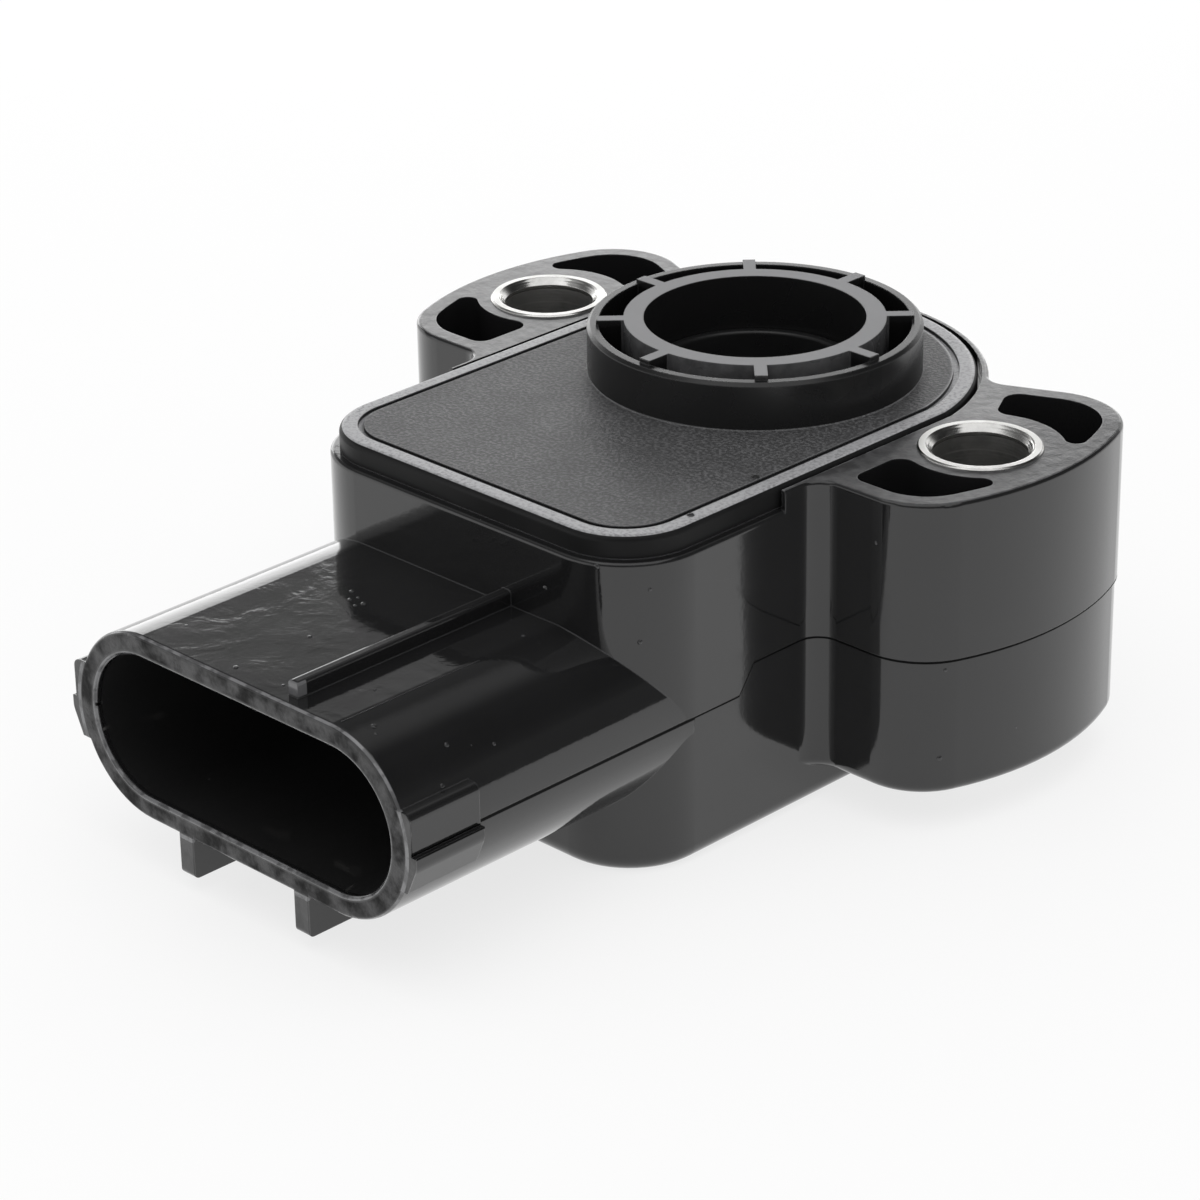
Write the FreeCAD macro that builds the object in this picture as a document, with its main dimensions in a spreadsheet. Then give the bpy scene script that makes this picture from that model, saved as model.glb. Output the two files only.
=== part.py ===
import FreeCAD, Part
import math
import os
import Sketcher

V = FreeCAD.Vector

# Throttle position sensor, seen with the pilot collar up.
# Origin: on the collar's axis, in the plane of the cover and of the two bushing faces.
# +Z leaves the collar, -Y is the side of the connector, the two ears lie along X.

doc = FreeCAD.newDocument("ThrottlePositionSensor")

# Sizes that are set by themselves, in millimetres and degrees
SIZES = [
    # cover plate with its sealing groove and skirt
    ("cover_half_width", 16.25),
    ("cover_front", 30.12),
    ("cover_corner", 5.75),
    ("cover_rear", 16.5),
    ("cover_thick", 1.7),
    ("cover_edge_round", 0.45),
    ("groove_inset", 1.35),
    ("groove_width", 0.45),
    ("groove_deep", 0.3),
    ("skirt_wall", 1.2),
    ("skirt_drop", 1.6),
    ("skirt_gap", 0.1),
    # pilot collar with its hub ring and radial spokes
    ("collar_radius", 12.45),
    ("collar_tall", 3.66),
    ("collar_wall", 0.85),
    ("collar_chamfer", 0.25),
    ("hub_ring_radius", 9.72),
    ("hub_ring_tall", 4.0),
    ("hub_bore", 8.23),
    ("spoke_count", 8),
    ("spoke_wide", 0.95),
    ("spoke_bite", 0.15),
    ("collar_pocket_floor", 0.5),
    # housing body
    ("ledge_wide", 0.7),
    ("cover_gap", 0.32),
    ("rim_wall", 0.5),
    ("body_deep", 25.8),
    ("body_bottom_round", 1.3),
    ("top_round", 0.3),
    ("wall", 2.4),
    ("floor_wall", 2.5),
    ("shelf_wide", 1.6),
    ("shelf_deep", 15.9),
    # ears with their lobes and core-outs
    ("hole_spacing", 43.5),
    ("ear_drop", 0.2),
    ("ear_deep", 22.9),
    ("ear_bottom_round", 0.9),
    ("ear_lobe_radius", 5.6),
    ("ear_lobe_y", 6.6),
    ("ear_shift", 0.4),
    ("ear_lobe_out", 0.2),
    ("ear_side_radius", 23.0),
    ("ear_flank_angle", 114.0),
    ("ear_front_round", 1.8),
    ("ear_rear_round", 1.6),
    ("ear_top_front", 15.2),
    ("ear_wall", 1.5),
    ("boss_wall", 1.35),
    ("core_side", 3.1),
    ("core_rear_side", 5.1),
    ("core_deep", 18.5),
    ("core_round", 1.1),
    ("core_rear_round", 1.3),
    ("core_tip_round", 0.8),
    ("bushing_radius", 4.5),
    ("bushing_bore", 3.4),
    ("bushing_chamfer", 0.5),
    ("bushing_edge", 0.12),
    ("bushing_proud", 0.2),
    # parting line of the moulding tool
    ("parting_step", 0.16),
    ("parting_ear", 12.3),
    ("parting_front", 14.4),
    ("parting_front_y", 19.9),
    ("parting_slant", 1.5),
    # connector shroud
    ("mouth_front", 51.7),
    ("shroud_half_width", 16.9),
    ("shroud_half_tall", 7.15),
    ("shroud_centre", 14.4),
    ("shroud_wall", 1.7),
    ("socket_deep", 17.6),
    ("mouth_lead_in", 0.2),
    ("mouth_round", 0.35),
    ("rail_back", 45.4),
    ("rail_proud", 0.4),
    ("rail_step", 0.4),
    ("rail_top", 3.05),
    ("rail_flat", 0.9),
    ("rail_low", 2.9),
    ("rail_foot_inset", 0.1),
    ("rail_round", 0.6),
    ("rail_low_round", 1.2),
    ("top_rib_x", 5.0),
    ("top_rib_wide", 0.95),
    ("top_rib_tall", 1.15),
    ("top_rib_back", 1.1),
    ("top_rib_round", 0.25),
    ("low_rib_x", 6.0),
    ("low_rib_wide", 1.35),
    ("low_rib_tall", 3.1),
    ("low_rib_round", 0.5),
    # terminals
    ("terminal_pitch", 7.6),
    ("terminal_wide", 2.8),
    ("terminal_thick", 0.8),
    ("terminal_tip_back", 9.0),
    ("terminal_tip_chamfer", 0.6),
    ("terminal_inner_reach", 3.6),
    ("solder_rise", 0.5),
    ("solder_wide", 0.7),
    ("solder_long", 2.4),
    # resistor board with its printed layers
    ("board_thick", 1.0),
    ("board_gap", 0.25),
    ("ink_thick", 0.08),
    ("track_radius", 11.0),
    ("track_wide", 1.5),
    ("collector_radius", 8.6),
    ("collector_wide", 1.4),
    ("track_margin", 14.0),
    ("trace_wide", 1.2),
    ("trace_front_angle", 48.0),
    ("collector_lap", 4.0),
    ("ink_margin", 0.3),
    ("pad_wide", 3.4),
    ("pad_long", 3.2),
    # rotor
    ("turn_range", 100.0),
    ("turn_start", 40.0),
    ("journal_clear", 0.06),
    ("rotor_top_drop", 0.15),
    ("rotor_cup", 7.35),
    ("rotor_cup_deep", 9.4),
    ("rotor_top_round", 0.25),
    ("rotor_hub", 8.9),
    ("rotor_disc", 12.7),
    ("rotor_disc_thick", 2.0),
    ("rotor_disc_lift", 2.7),
    ("rotor_step", 6.6),
    ("board_hole_clear", 0.6),
    ("pivot_radius", 4.2),
    ("pivot_long", 5.6),
    ("pivot_clear", 0.05),
    ("pivot_chamfer", 0.4),
    ("boss_radius", 7.0),
    ("blade_wide", 3.1),
    ("blade_long", 9.6),
    ("socket_post", 5.9),
    ("socket_post_tall", 4.8),
    ("blade_floor", 1.2),
    ("stop_reach", 0.9),
    ("stop_half_angle", 6.0),
    ("stop_clear_angle", 1.2),
    ("stop_wide_angle", 9.0),
    ("stop_gap", 0.3),
    ("notch_clear_angle", 1.0),
    ("hook_angle", 6.0),
    ("hook_inset", 0.4),
    ("hook_tall", 1.3),
    # wiper
    ("wiper_sheet", 0.25),
    ("wiper_wide_angle", 40.0),
    ("wiper_margin", 1.1),
    ("tine_wide", 0.45),
    ("tine_offset", 0.32),
    ("tine_reach", 5.6),
    ("tine_tip", 0.45),
    ("tine_gap", 0.06),
    # rubber ring, disc spring and return spring
    ("seal_tall", 0.7),
    ("seal_wide", 1.3),
    ("seal_gap", 0.1),
    ("washer_sheet", 0.2),
    ("washer_rise", 0.35),
    ("washer_gap", 0.1),
    ("washer_clear", 0.2),
    ("wire_half", 0.42),
    ("coil_clear", 0.6),
    ("hook_clear", 0.3),
    ("coil_turns", 4.75),
    ("coil_pitch", 1.02),
    ("coil_lift", 0.15),
    ("leg_play_angle", 0.6),
    ("low_leg_long", 2.2),
    ("top_leg_long", 4.0),
    # sealing bead under the cover's rim
    ("bead_wide", 0.7),
    ("bead_deep", 0.8),
    ("bead_inset", 0.5),
]

# Sizes that follow from the ones above
DERIVED = [
    ("hole_x", "hole_spacing / 2"),
    ("body_half_width", "cover_half_width + ledge_wide"),
    ("body_front", "cover_front + ledge_wide"),
    ("body_corner", "cover_corner + ledge_wide"),
    ("body_rear", "cover_rear + cover_gap + rim_wall"),
    ("seat_half_width", "cover_half_width + cover_gap"),
    ("seat_front", "cover_front + cover_gap"),
    ("seat_corner", "cover_corner + cover_gap"),
    ("seat_rear", "cover_rear + cover_gap"),
    ("low_half_width", "body_half_width - parting_step"),
    ("low_front", "body_front - parting_step"),
    ("low_corner", "body_corner - parting_step"),
    ("low_rear", "body_rear - parting_step"),
    ("cavity_half_width", "body_half_width - wall"),
    ("cavity_front", "body_front - wall"),
    ("cavity_corner", "body_corner - wall"),
    ("cavity_rear", "body_rear - wall"),
    ("pit_half_width", "cavity_half_width - shelf_wide"),
    ("pit_front", "cavity_front - shelf_wide"),
    ("pit_corner", "cavity_corner - shelf_wide"),
    ("pit_rear", "cavity_rear - shelf_wide"),
    ("skirt_half_width", "cavity_half_width - skirt_gap"),
    ("skirt_front", "cavity_front - skirt_gap"),
    ("skirt_corner", "cavity_corner - skirt_gap"),
    ("skirt_rear", "cavity_rear - skirt_gap"),
    ("well_half_width", "skirt_half_width - skirt_wall"),
    ("well_front", "skirt_front - skirt_wall"),
    ("well_corner", "skirt_corner - skirt_wall"),
    ("well_rear", "skirt_rear - skirt_wall"),
    ("panel_half_width", "cover_half_width - groove_inset - groove_width"),
    ("panel_front", "cover_front - groove_inset - groove_width"),
    ("panel_corner", "cover_corner - groove_inset - groove_width"),
    ("panel_rear", "cover_rear - groove_inset - groove_width"),
    ("line_half_width", "cover_half_width - groove_inset"),
    ("line_front", "cover_front - groove_inset"),
    ("line_corner", "cover_corner - groove_inset"),
    ("line_rear", "cover_rear - groove_inset"),
    ("bead_half_width", "cover_half_width - bead_inset"),
    ("bead_front", "cover_front - bead_inset"),
    ("bead_corner", "cover_corner - bead_inset"),
    ("bead_rear", "cover_rear - bead_inset"),
    ("bead_in_half_width", "bead_half_width - bead_wide"),
    ("bead_in_front", "bead_front - bead_wide"),
    ("bead_in_corner", "bead_corner - bead_wide"),
    ("bead_in_rear", "bead_rear - bead_wide"),
    ("board_half_width", "cavity_half_width - board_gap"),
    ("board_front", "cavity_front - board_gap"),
    ("board_corner", "cavity_corner - board_gap"),
    ("board_rear", "cavity_rear - board_gap"),
    ("lobe_x", "hole_x + ear_lobe_out"),
    ("lobe_front_y", "ear_lobe_y - ear_shift"),
    ("lobe_rear_y", "ear_lobe_y + ear_shift"),
    ("core_lobe", "ear_lobe_radius - ear_wall"),
    ("core_outer", "ear_side_radius - ear_wall"),
    ("core_boss", "bushing_radius + boss_wall"),
    ("core_x", "hole_x - core_side"),
    ("core_rear_x", "hole_x - core_rear_side"),
    ("collar_inner", "collar_radius - collar_wall"),
    ("socket_half_width", "shroud_half_width - shroud_wall"),
    ("socket_half_tall", "shroud_half_tall - shroud_wall"),
    ("rail_x", "shroud_half_width + rail_proud"),
    ("rail_low_x", "rail_x + rail_step"),
    ("rail_foot_x", "shroud_half_width - rail_foot_inset"),
    ("rail_high", "rail_top - shroud_centre"),
    ("rail_bend", "shroud_centre + rail_flat"),
    ("rail_foot", "shroud_centre + rail_low"),
    ("top_rib_level", "shroud_half_tall + top_rib_tall - shroud_centre"),
    ("low_rib_level", "shroud_half_tall + low_rib_tall + shroud_centre"),
    ("board_top", "shelf_deep - board_thick"),
    ("ink_top", "board_top - ink_thick"),
    ("disc_low", "board_top - rotor_disc_lift"),
    ("disc_top", "disc_low - rotor_disc_thick"),
    ("journal_radius", "hub_bore - journal_clear"),
    ("hub_top", "cover_thick + 2 * seal_gap + seal_tall"),
    ("board_hole", "rotor_step + board_hole_clear"),
    ("boss_top", "shelf_deep + washer_gap + washer_rise + washer_sheet"),
    ("pivot_bore", "pivot_radius + pivot_clear"),
    ("step_low", "shelf_deep"),
    ("pivot_low", "step_low + pivot_long"),
    ("cup_floor", "rotor_top_drop + rotor_cup_deep"),
    ("post_top", "cup_floor - socket_post_tall"),
    ("blade_low", "disc_low + blade_floor"),
    ("stop_radius", "rotor_disc + stop_reach"),
    ("stop_angle", "2 * stop_half_angle"),
    ("stop_lug_radius", "rotor_disc + stop_gap"),
    ("stop_lug_root", "cavity_rear + wall / 2"),
    ("lug_top", "cover_thick + skirt_drop + board_gap"),
    ("notch_radius", "stop_lug_radius - board_gap"),
    ("notch_root", "stop_lug_root"),
    ("notch_angle", "stop_wide_angle + 2 * notch_clear_angle"),
    ("coil_radius", "rotor_hub + coil_clear + wire_half"),
    ("coil_low", "disc_top - coil_lift - wire_half"),
    ("coil_top", "coil_low - coil_turns * coil_pitch"),
    ("hook_inner", "coil_radius + wire_half + hook_clear"),
    ("hook_outer", "rotor_disc - hook_inset"),
    ("top_leg_angle", "turn_start + turn_range + stop_half_angle + stop_clear_angle - leg_play_angle"),
    ("leg_angle", "top_leg_angle - 90"),
    ("seal_low", "cover_thick + seal_gap + seal_tall"),
    ("seal_outer", "hub_bore + seal_wide"),
    ("terminal_front", "mouth_front - terminal_tip_back"),
    ("terminal_inner", "cavity_front - terminal_inner_reach"),
    ("terminal_low", "ink_top"),
    ("wiper_inner", "collector_radius - wiper_margin"),
    ("wiper_outer", "track_radius + wiper_margin"),
    ("tine_root", "wiper_inner * tan(wiper_wide_angle * 0.4 * 1 deg)"),
    ("washer_inner", "pivot_radius + washer_clear"),
    ("washer_outer", "rotor_step - washer_clear"),
    ("track_inner", "track_radius - track_wide / 2"),
    ("track_outer", "track_radius + track_wide / 2"),
    ("collector_inner", "collector_radius - collector_wide / 2"),
    ("collector_outer", "collector_radius + collector_wide / 2"),
    ("track_start", "turn_start - track_margin"),
    ("track_angle", "turn_range + 2 * track_margin"),
    ("leg_ring_angle", "track_start + trace_front_angle"),
    ("leg_ring_low", "track_inner * sin(trace_front_angle * 1 deg)"),
    ("collector_angle", "90 + collector_lap + track_start + track_angle"),
    ("pad_front", "board_front - ink_margin"),
]

sheet = doc.addObject("Spreadsheet::Sheet", "Dim")
row = 1
for alias, number in SIZES:
    sheet.set("A%d" % row, alias)
    sheet.set("B%d" % row, str(number))
    sheet.setAlias("B%d" % row, alias)
    row += 1
for alias, formula in DERIVED:
    sheet.set("A%d" % row, alias)
    sheet.set("B%d" % row, "=" + formula)
    sheet.setAlias("B%d" % row, alias)
    row += 1
doc.recompute()


def size(alias):
    """Value of one size of the sheet."""
    return float(getattr(sheet, alias))


def bind(obj, path, formula):
    """Tie one property to a formula in the sheet's sizes, written as {alias}."""
    obj.setExpression(path, formula.replace("{", "Dim.").replace("}", ""))


def new_body(name):
    body = doc.addObject("PartDesign::Body", name)
    body.Label = name
    return body


def sketch_on(body, name, role, offset):
    """Empty sketch on one of the body's own planes, moved along its normal."""
    sketch = body.newObject("Sketcher::SketchObject", name)
    plane = [f for f in body.Origin.OriginFeatures if f.Role == role][0]
    sketch.AttachmentSupport = [(plane, "")]
    sketch.MapMode = "FlatFace"
    if offset:
        bind(sketch, "AttachmentOffset.Base.z", offset)
    return sketch


def tie(sketch, kind, geo, value, formula, *extra):
    """Dimension of a sketch, bound to the sheet."""
    number = sketch.addConstraint(Sketcher.Constraint(kind, geo, *extra, value))
    bind(sketch, "Constraints[%d]" % number, formula)


def place_point(sketch, geo, pos, x, y, x_formula, y_formula):
    tie(sketch, "DistanceX", -1, x, x_formula, 1, geo, pos)
    tie(sketch, "DistanceY", -1, y, y_formula, 1, geo, pos)


def arc(cx, cy, radius, start, end):
    circle = Part.Circle(V(cx, cy, 0), V(0, 0, 1), radius)
    return Part.ArcOfCircle(circle, math.radians(start), math.radians(end))


def line(x0, y0, x1, y1):
    return Part.LineSegment(V(x0, y0, 0), V(x1, y1, 0))


def tombstone(sketch, prefix):
    """Closed outline: straight front with two round corners, and a rear arc about the axis."""
    hw, fr = size(prefix + "_half_width"), size(prefix + "_front")
    rc, ra = size(prefix + "_corner"), size(prefix + "_rear")
    rise = math.sqrt(ra * ra - hw * hw)
    turn = math.degrees(math.atan2(rise, hw))
    base = sketch.GeometryCount
    shapes = [
        line(-hw + rc, -fr, hw - rc, -fr),
        arc(hw - rc, -fr + rc, rc, 270, 360),
        line(hw, -fr + rc, hw, rise),
        arc(0, 0, ra, turn, 180 - turn),
        line(-hw, rise, -hw, -fr + rc),
        arc(-hw + rc, -fr + rc, rc, 180, 270),
    ]
    for shape in shapes:
        sketch.addGeometry(shape, False)
    front, corner, right, rear, left, other = range(base, base + 6)
    add = sketch.addConstraint
    add(Sketcher.Constraint("Tangent", front, 2, corner, 1))
    add(Sketcher.Constraint("Tangent", corner, 2, right, 1))
    add(Sketcher.Constraint("Coincident", right, 2, rear, 1))
    add(Sketcher.Constraint("Coincident", rear, 2, left, 1))
    add(Sketcher.Constraint("Tangent", left, 2, other, 1))
    add(Sketcher.Constraint("Tangent", other, 2, front, 1))
    add(Sketcher.Constraint("Horizontal", front))
    add(Sketcher.Constraint("Vertical", right))
    add(Sketcher.Constraint("Vertical", left))
    add(Sketcher.Constraint("Coincident", rear, 3, -1, 1))
    add(Sketcher.Constraint("Equal", corner, other))
    tie(sketch, "Radius", corner, rc, "{%s_corner}" % prefix)
    tie(sketch, "Radius", rear, ra, "{%s_rear}" % prefix)
    tie(sketch, "DistanceX", -1, hw, "{%s_half_width}" % prefix, 1, right, 1)
    tie(sketch, "DistanceX", -1, -hw, "-{%s_half_width}" % prefix, 1, left, 2)
    tie(sketch, "DistanceY", -1, -fr, "-{%s_front}" % prefix, 1, front, 1)


def stadium(sketch, half_width, half_tall, centre):
    """Oval with straight top and bottom, its centre below the plane of the cover."""
    hw, ht, zc = size(half_width), size(half_tall), -size(centre)
    flat = hw - ht
    base = sketch.GeometryCount
    sketch.addGeometry(line(-flat, zc - ht, flat, zc - ht), False)
    sketch.addGeometry(arc(flat, zc, ht, -90, 90), False)
    sketch.addGeometry(line(flat, zc + ht, -flat, zc + ht), False)
    sketch.addGeometry(arc(-flat, zc, ht, 90, 270), False)
    low, right, top, left = range(base, base + 4)
    add = sketch.addConstraint
    add(Sketcher.Constraint("Tangent", low, 2, right, 1))
    add(Sketcher.Constraint("Tangent", right, 2, top, 1))
    add(Sketcher.Constraint("Tangent", top, 2, left, 1))
    add(Sketcher.Constraint("Tangent", left, 2, low, 1))
    add(Sketcher.Constraint("Horizontal", low))
    tie(sketch, "Radius", right, ht, "{%s}" % half_tall)
    place_point(sketch, right, 3, flat, zc, "{%s} - {%s}" % (half_width, half_tall), "-{%s}" % centre)
    tie(sketch, "DistanceX", -1, -flat, "{%s} - {%s}" % (half_tall, half_width), 1, left, 3)


def circle_on(sketch, radius, x="0", y="0", x_value=0.0):
    index = sketch.addGeometry(Part.Circle(V(x_value, 0, 0), V(0, 0, 1), size(radius)), False)
    tie(sketch, "Radius", index, size(radius), "{%s}" % radius)
    if x == "0":
        sketch.addConstraint(Sketcher.Constraint("Coincident", index, 3, -1, 1))
    else:
        place_point(sketch, index, 3, x_value, 0.0, x, y)


def profile(sketch, points):
    """Closed polygon whose corners are (x formula, x, y formula, y)."""
    base = sketch.GeometryCount
    count = len(points)
    for i in range(count):
        a, b = points[i], points[(i + 1) % count]
        sketch.addGeometry(line(a[1], a[3], b[1], b[3]), False)
    for i in range(count):
        following = base + (i + 1) % count
        sketch.addConstraint(Sketcher.Constraint("Coincident", base + i, 2, following, 1))
    for i in range(count):
        place_point(sketch, base + i, 1, points[i][1], points[i][3], points[i][0], points[i][2])


def grow(body, kind, sketch, name, length, reverse=False):
    """Pad or pocket of a sketch, its length bound to the sheet."""
    feature = body.newObject("PartDesign::" + kind, name)
    feature.Profile = sketch
    bind(feature, "Length", length)
    feature.Reversed = reverse
    sketch.Visibility = False
    return feature


def block(body, name, cut, x, y, z, length, width, height):
    """Box added to or cut from a body, every size and place a formula."""
    kind = "PartDesign::SubtractiveBox" if cut else "PartDesign::AdditiveBox"
    box = body.newObject(kind, name)
    for path, formula in (("Length", length), ("Width", width), ("Height", height)):
        bind(box, path, formula)
    for path, formula in (("x", x), ("y", y), ("z", z)):
        bind(box, "Placement.Base." + path, formula)
    return box


def post(body, name, cut, radius, x, z, height):
    kind = "PartDesign::SubtractiveCylinder" if cut else "PartDesign::AdditiveCylinder"
    cylinder = body.newObject(kind, name)
    bind(cylinder, "Radius", radius)
    bind(cylinder, "Height", height)
    bind(cylinder, "Placement.Base.x", x)
    bind(cylinder, "Placement.Base.z", z)
    return cylinder


def edges_where(feature, test):
    """Names of the feature's edges that pass a test."""
    doc.recompute()
    found = []
    for i, edge in enumerate(feature.Shape.Edges):
        if test(edge):
            found.append("Edge%d" % (i + 1))
    return found


def dress(body, kind, name, base, test, amount):
    """Fillet or chamfer on the edges of the base that pass a test."""
    names = edges_where(base, test)
    feature = body.newObject("PartDesign::" + kind, name)
    feature.Base = (base, names)
    bind(feature, "Radius" if kind == "Fillet" else "Size", amount)
    return feature


def flat_at(edge, level):
    box = edge.BoundBox
    return abs(box.ZMin - level) < 1e-4 and abs(box.ZMax - level) < 1e-4


def round_at(edge, radius, level):
    curve = edge.Curve
    return flat_at(edge, level) and isinstance(curve, Part.Circle) and abs(curve.Radius - radius) < 1e-4


# Ear outline: two lobes joined by a wide outer arc, a straight front flank and a radial rear flank
def ear_points(inset):
    lobe = size("ear_lobe_radius") - inset
    side = size("ear_side_radius") - inset
    lx, ly, shift = size("lobe_x"), size("ear_lobe_y"), size("ear_shift")
    hw = size("body_half_width") - inset
    ra = size("body_rear") - inset
    rf, rr = size("ear_front_round"), size("ear_rear_round")
    centre = lx - math.sqrt((side - lobe) ** 2 - ly * ly)
    swing = math.degrees(math.atan2(ly, lx - centre))
    beta = math.radians(size("ear_flank_angle"))
    nx, ny = math.cos(beta), math.sin(beta)
    offset = nx * lx + ny * (ly + shift) + lobe
    along = math.sqrt((ra + rr) ** 2 - (offset + rr) ** 2)
    fx = (offset + rr) * nx + along * ny
    fy = (offset + rr) * ny - along * nx
    return {
        "lobe": lobe, "side": side, "lx": lx, "ly": ly, "hw": hw, "ra": ra, "rf": rf, "rr": rr,
        "centre": centre, "swing": swing, "nx": nx, "ny": ny, "fx": fx, "fy": fy,
        "flank": math.degrees(beta), "shift": shift,
    }


def mirror_arc(cx, cy, radius, start, end, side):
    if side > 0:
        return arc(cx, cy, radius, start, end)
    return arc(-cx, cy, radius, 180 - end, 180 - start)


def outline_with_ears(sketch, inset_name):
    """Outline of body and ears in one loop; inset_name is the sheet size it is moved in by."""
    inset = size(inset_name) if inset_name else 0.0
    less = " - {%s}" % inset_name if inset_name else ""
    p = ear_points(inset)
    fr = size("body_front") - inset
    rc = size("body_corner") - inset
    hw, lobe, side, lx, ly = p["hw"], p["lobe"], p["side"], p["lx"], p["ly"]
    rf, rr, ra, shift = p["rf"], p["rr"], p["ra"], p["shift"]
    low = shift - ly - lobe
    tilt = math.degrees(math.atan2(p["fy"], p["fx"]))
    root = math.degrees(math.atan2(-p["fy"], -p["fx"])) + 360
    foot = p["flank"] + 180
    ends = {}
    add = sketch.addConstraint
    front = sketch.addGeometry(line(-hw + rc, -fr, hw - rc, -fr), False)
    for s in (1, -1):
        corner = sketch.addGeometry(mirror_arc(hw - rc, -fr + rc, rc, 270, 360, s), False)
        right = sketch.addGeometry(line(s * hw, -fr + rc, s * hw, low - rf), False)
        root_front = sketch.addGeometry(mirror_arc(hw + rf, low - rf, rf, 90, 180, s), False)
        flank = sketch.addGeometry(line(s * (hw + rf), low, s * lx, low), False)
        lobe_front = sketch.addGeometry(mirror_arc(lx, shift - ly, lobe, 270, 360 - p["swing"], s), False)
        outer = sketch.addGeometry(mirror_arc(p["centre"], shift, side, -p["swing"], p["swing"], s), False)
        lobe_rear = sketch.addGeometry(mirror_arc(lx, shift + ly, lobe, p["swing"], p["flank"], s), False)
        ax, ay = lx + lobe * p["nx"], shift + ly + lobe * p["ny"]
        bx, by = p["fx"] - rr * p["nx"], p["fy"] - rr * p["ny"]
        back = sketch.addGeometry(line(s * ax, ay, s * bx, by), False)
        root_rear = sketch.addGeometry(mirror_arc(p["fx"], p["fy"], rr, root, foot, s), False)
        # end numbers of an arc swap when it is mirrored
        a, b = (1, 2) if s > 0 else (2, 1)
        add(Sketcher.Constraint("Tangent", front, b, corner, a))
        add(Sketcher.Constraint("Tangent", corner, b, right, 1))
        add(Sketcher.Constraint("Tangent", right, 2, root_front, b))
        add(Sketcher.Constraint("Tangent", root_front, a, flank, 1))
        add(Sketcher.Constraint("Tangent", flank, 2, lobe_front, a))
        add(Sketcher.Constraint("Tangent", lobe_front, b, outer, a))
        add(Sketcher.Constraint("Tangent", outer, b, lobe_rear, a))
        add(Sketcher.Constraint("Tangent", lobe_rear, b, back, 1))
        add(Sketcher.Constraint("Tangent", back, 2, root_rear, b))
        add(Sketcher.Constraint("Vertical", right))
        add(Sketcher.Constraint("Horizontal", flank))
        sign = "" if s > 0 else "-"
        tie(sketch, "Radius", corner, rc, "{body_corner}" + less)
        tie(sketch, "Radius", root_front, rf, "{ear_front_round}")
        tie(sketch, "Radius", lobe_front, lobe, "{ear_lobe_radius}" + less)
        tie(sketch, "Radius", lobe_rear, lobe, "{ear_lobe_radius}" + less)
        tie(sketch, "Radius", outer, side, "{ear_side_radius}" + less)
        tie(sketch, "Radius", root_rear, rr, "{ear_rear_round}")
        tie(sketch, "DistanceX", -1, s * hw, "%s({body_half_width}%s)" % (sign, less), 1, right, 1)
        place_point(sketch, lobe_front, 3, s * lx, shift - ly, sign + "{lobe_x}", "-{lobe_front_y}")
        place_point(sketch, lobe_rear, 3, s * lx, shift + ly, sign + "{lobe_x}", "{lobe_rear_y}")
        ends[s] = (root_rear, a, back)
    add(Sketcher.Constraint("Horizontal", front))
    tie(sketch, "DistanceY", -1, -fr, "-({body_front}%s)" % less, 1, front, 1)
    rear = sketch.addGeometry(arc(0, 0, ra, tilt, 180 - tilt), False)
    add(Sketcher.Constraint("Tangent", ends[1][0], ends[1][1], rear, 1))
    add(Sketcher.Constraint("Tangent", rear, 2, ends[-1][0], ends[-1][1]))
    add(Sketcher.Constraint("Coincident", rear, 3, -1, 1))
    tie(sketch, "Radius", rear, ra, "{body_rear}" + less)
    return ends


def lean_line(sketch, geo, s):
    """Turn a line of an ear to the angle of the rear flank."""
    beta = size("ear_flank_angle")
    slope = math.radians(beta + 90) if s > 0 else math.radians(90 - beta)
    sketch.addConstraint(Sketcher.Constraint("Angle", geo, slope))
    formula = "{ear_flank_angle} * 1 deg + 90 deg" if s > 0 else "90 deg - {ear_flank_angle} * 1 deg"
    bind(sketch, "Constraints[%d]" % (sketch.ConstraintCount - 1), formula)


def flank_angle(sketch, ends):
    """The radial rear flanks keep their angle."""
    for s in (1, -1):
        lean_line(sketch, ends[s][2], s)


def sector(sketch, radii, start, start_formula, wide):
    """Ring sector about the axis: two radii, a start angle and a width, in degrees."""
    inner, outer = size(radii[0]), size(radii[1])
    span = size(wide)
    end = start + span
    ends = {}
    for angle in (start, end):
        c, n = math.cos(math.radians(angle)), math.sin(math.radians(angle))
        ends[angle] = line(inner * c, inner * n, outer * c, outer * n)
    first = sketch.addGeometry(ends[start], False)
    far = sketch.addGeometry(arc(0, 0, outer, start, end), False)
    last = sketch.addGeometry(ends[end], False)
    near = sketch.addGeometry(arc(0, 0, inner, start, end), False)
    add = sketch.addConstraint
    add(Sketcher.Constraint("Coincident", first, 2, far, 1))
    add(Sketcher.Constraint("Coincident", far, 2, last, 2))
    add(Sketcher.Constraint("Coincident", last, 1, near, 2))
    add(Sketcher.Constraint("Coincident", near, 1, first, 1))
    add(Sketcher.Constraint("Coincident", far, 3, -1, 1))
    add(Sketcher.Constraint("Coincident", near, 3, -1, 1))
    add(Sketcher.Constraint("PointOnObject", -1, 1, first))
    add(Sketcher.Constraint("PointOnObject", -1, 1, last))
    tie(sketch, "Radius", far, outer, "{%s}" % radii[1])
    tie(sketch, "Radius", near, inner, "{%s}" % radii[0])
    tie(sketch, "Angle", first, math.radians(start), "(%s) * 1 deg" % start_formula)
    tie(sketch, "Angle", last, math.radians(end), "(%s + {%s}) * 1 deg" % (start_formula, wide))


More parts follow.
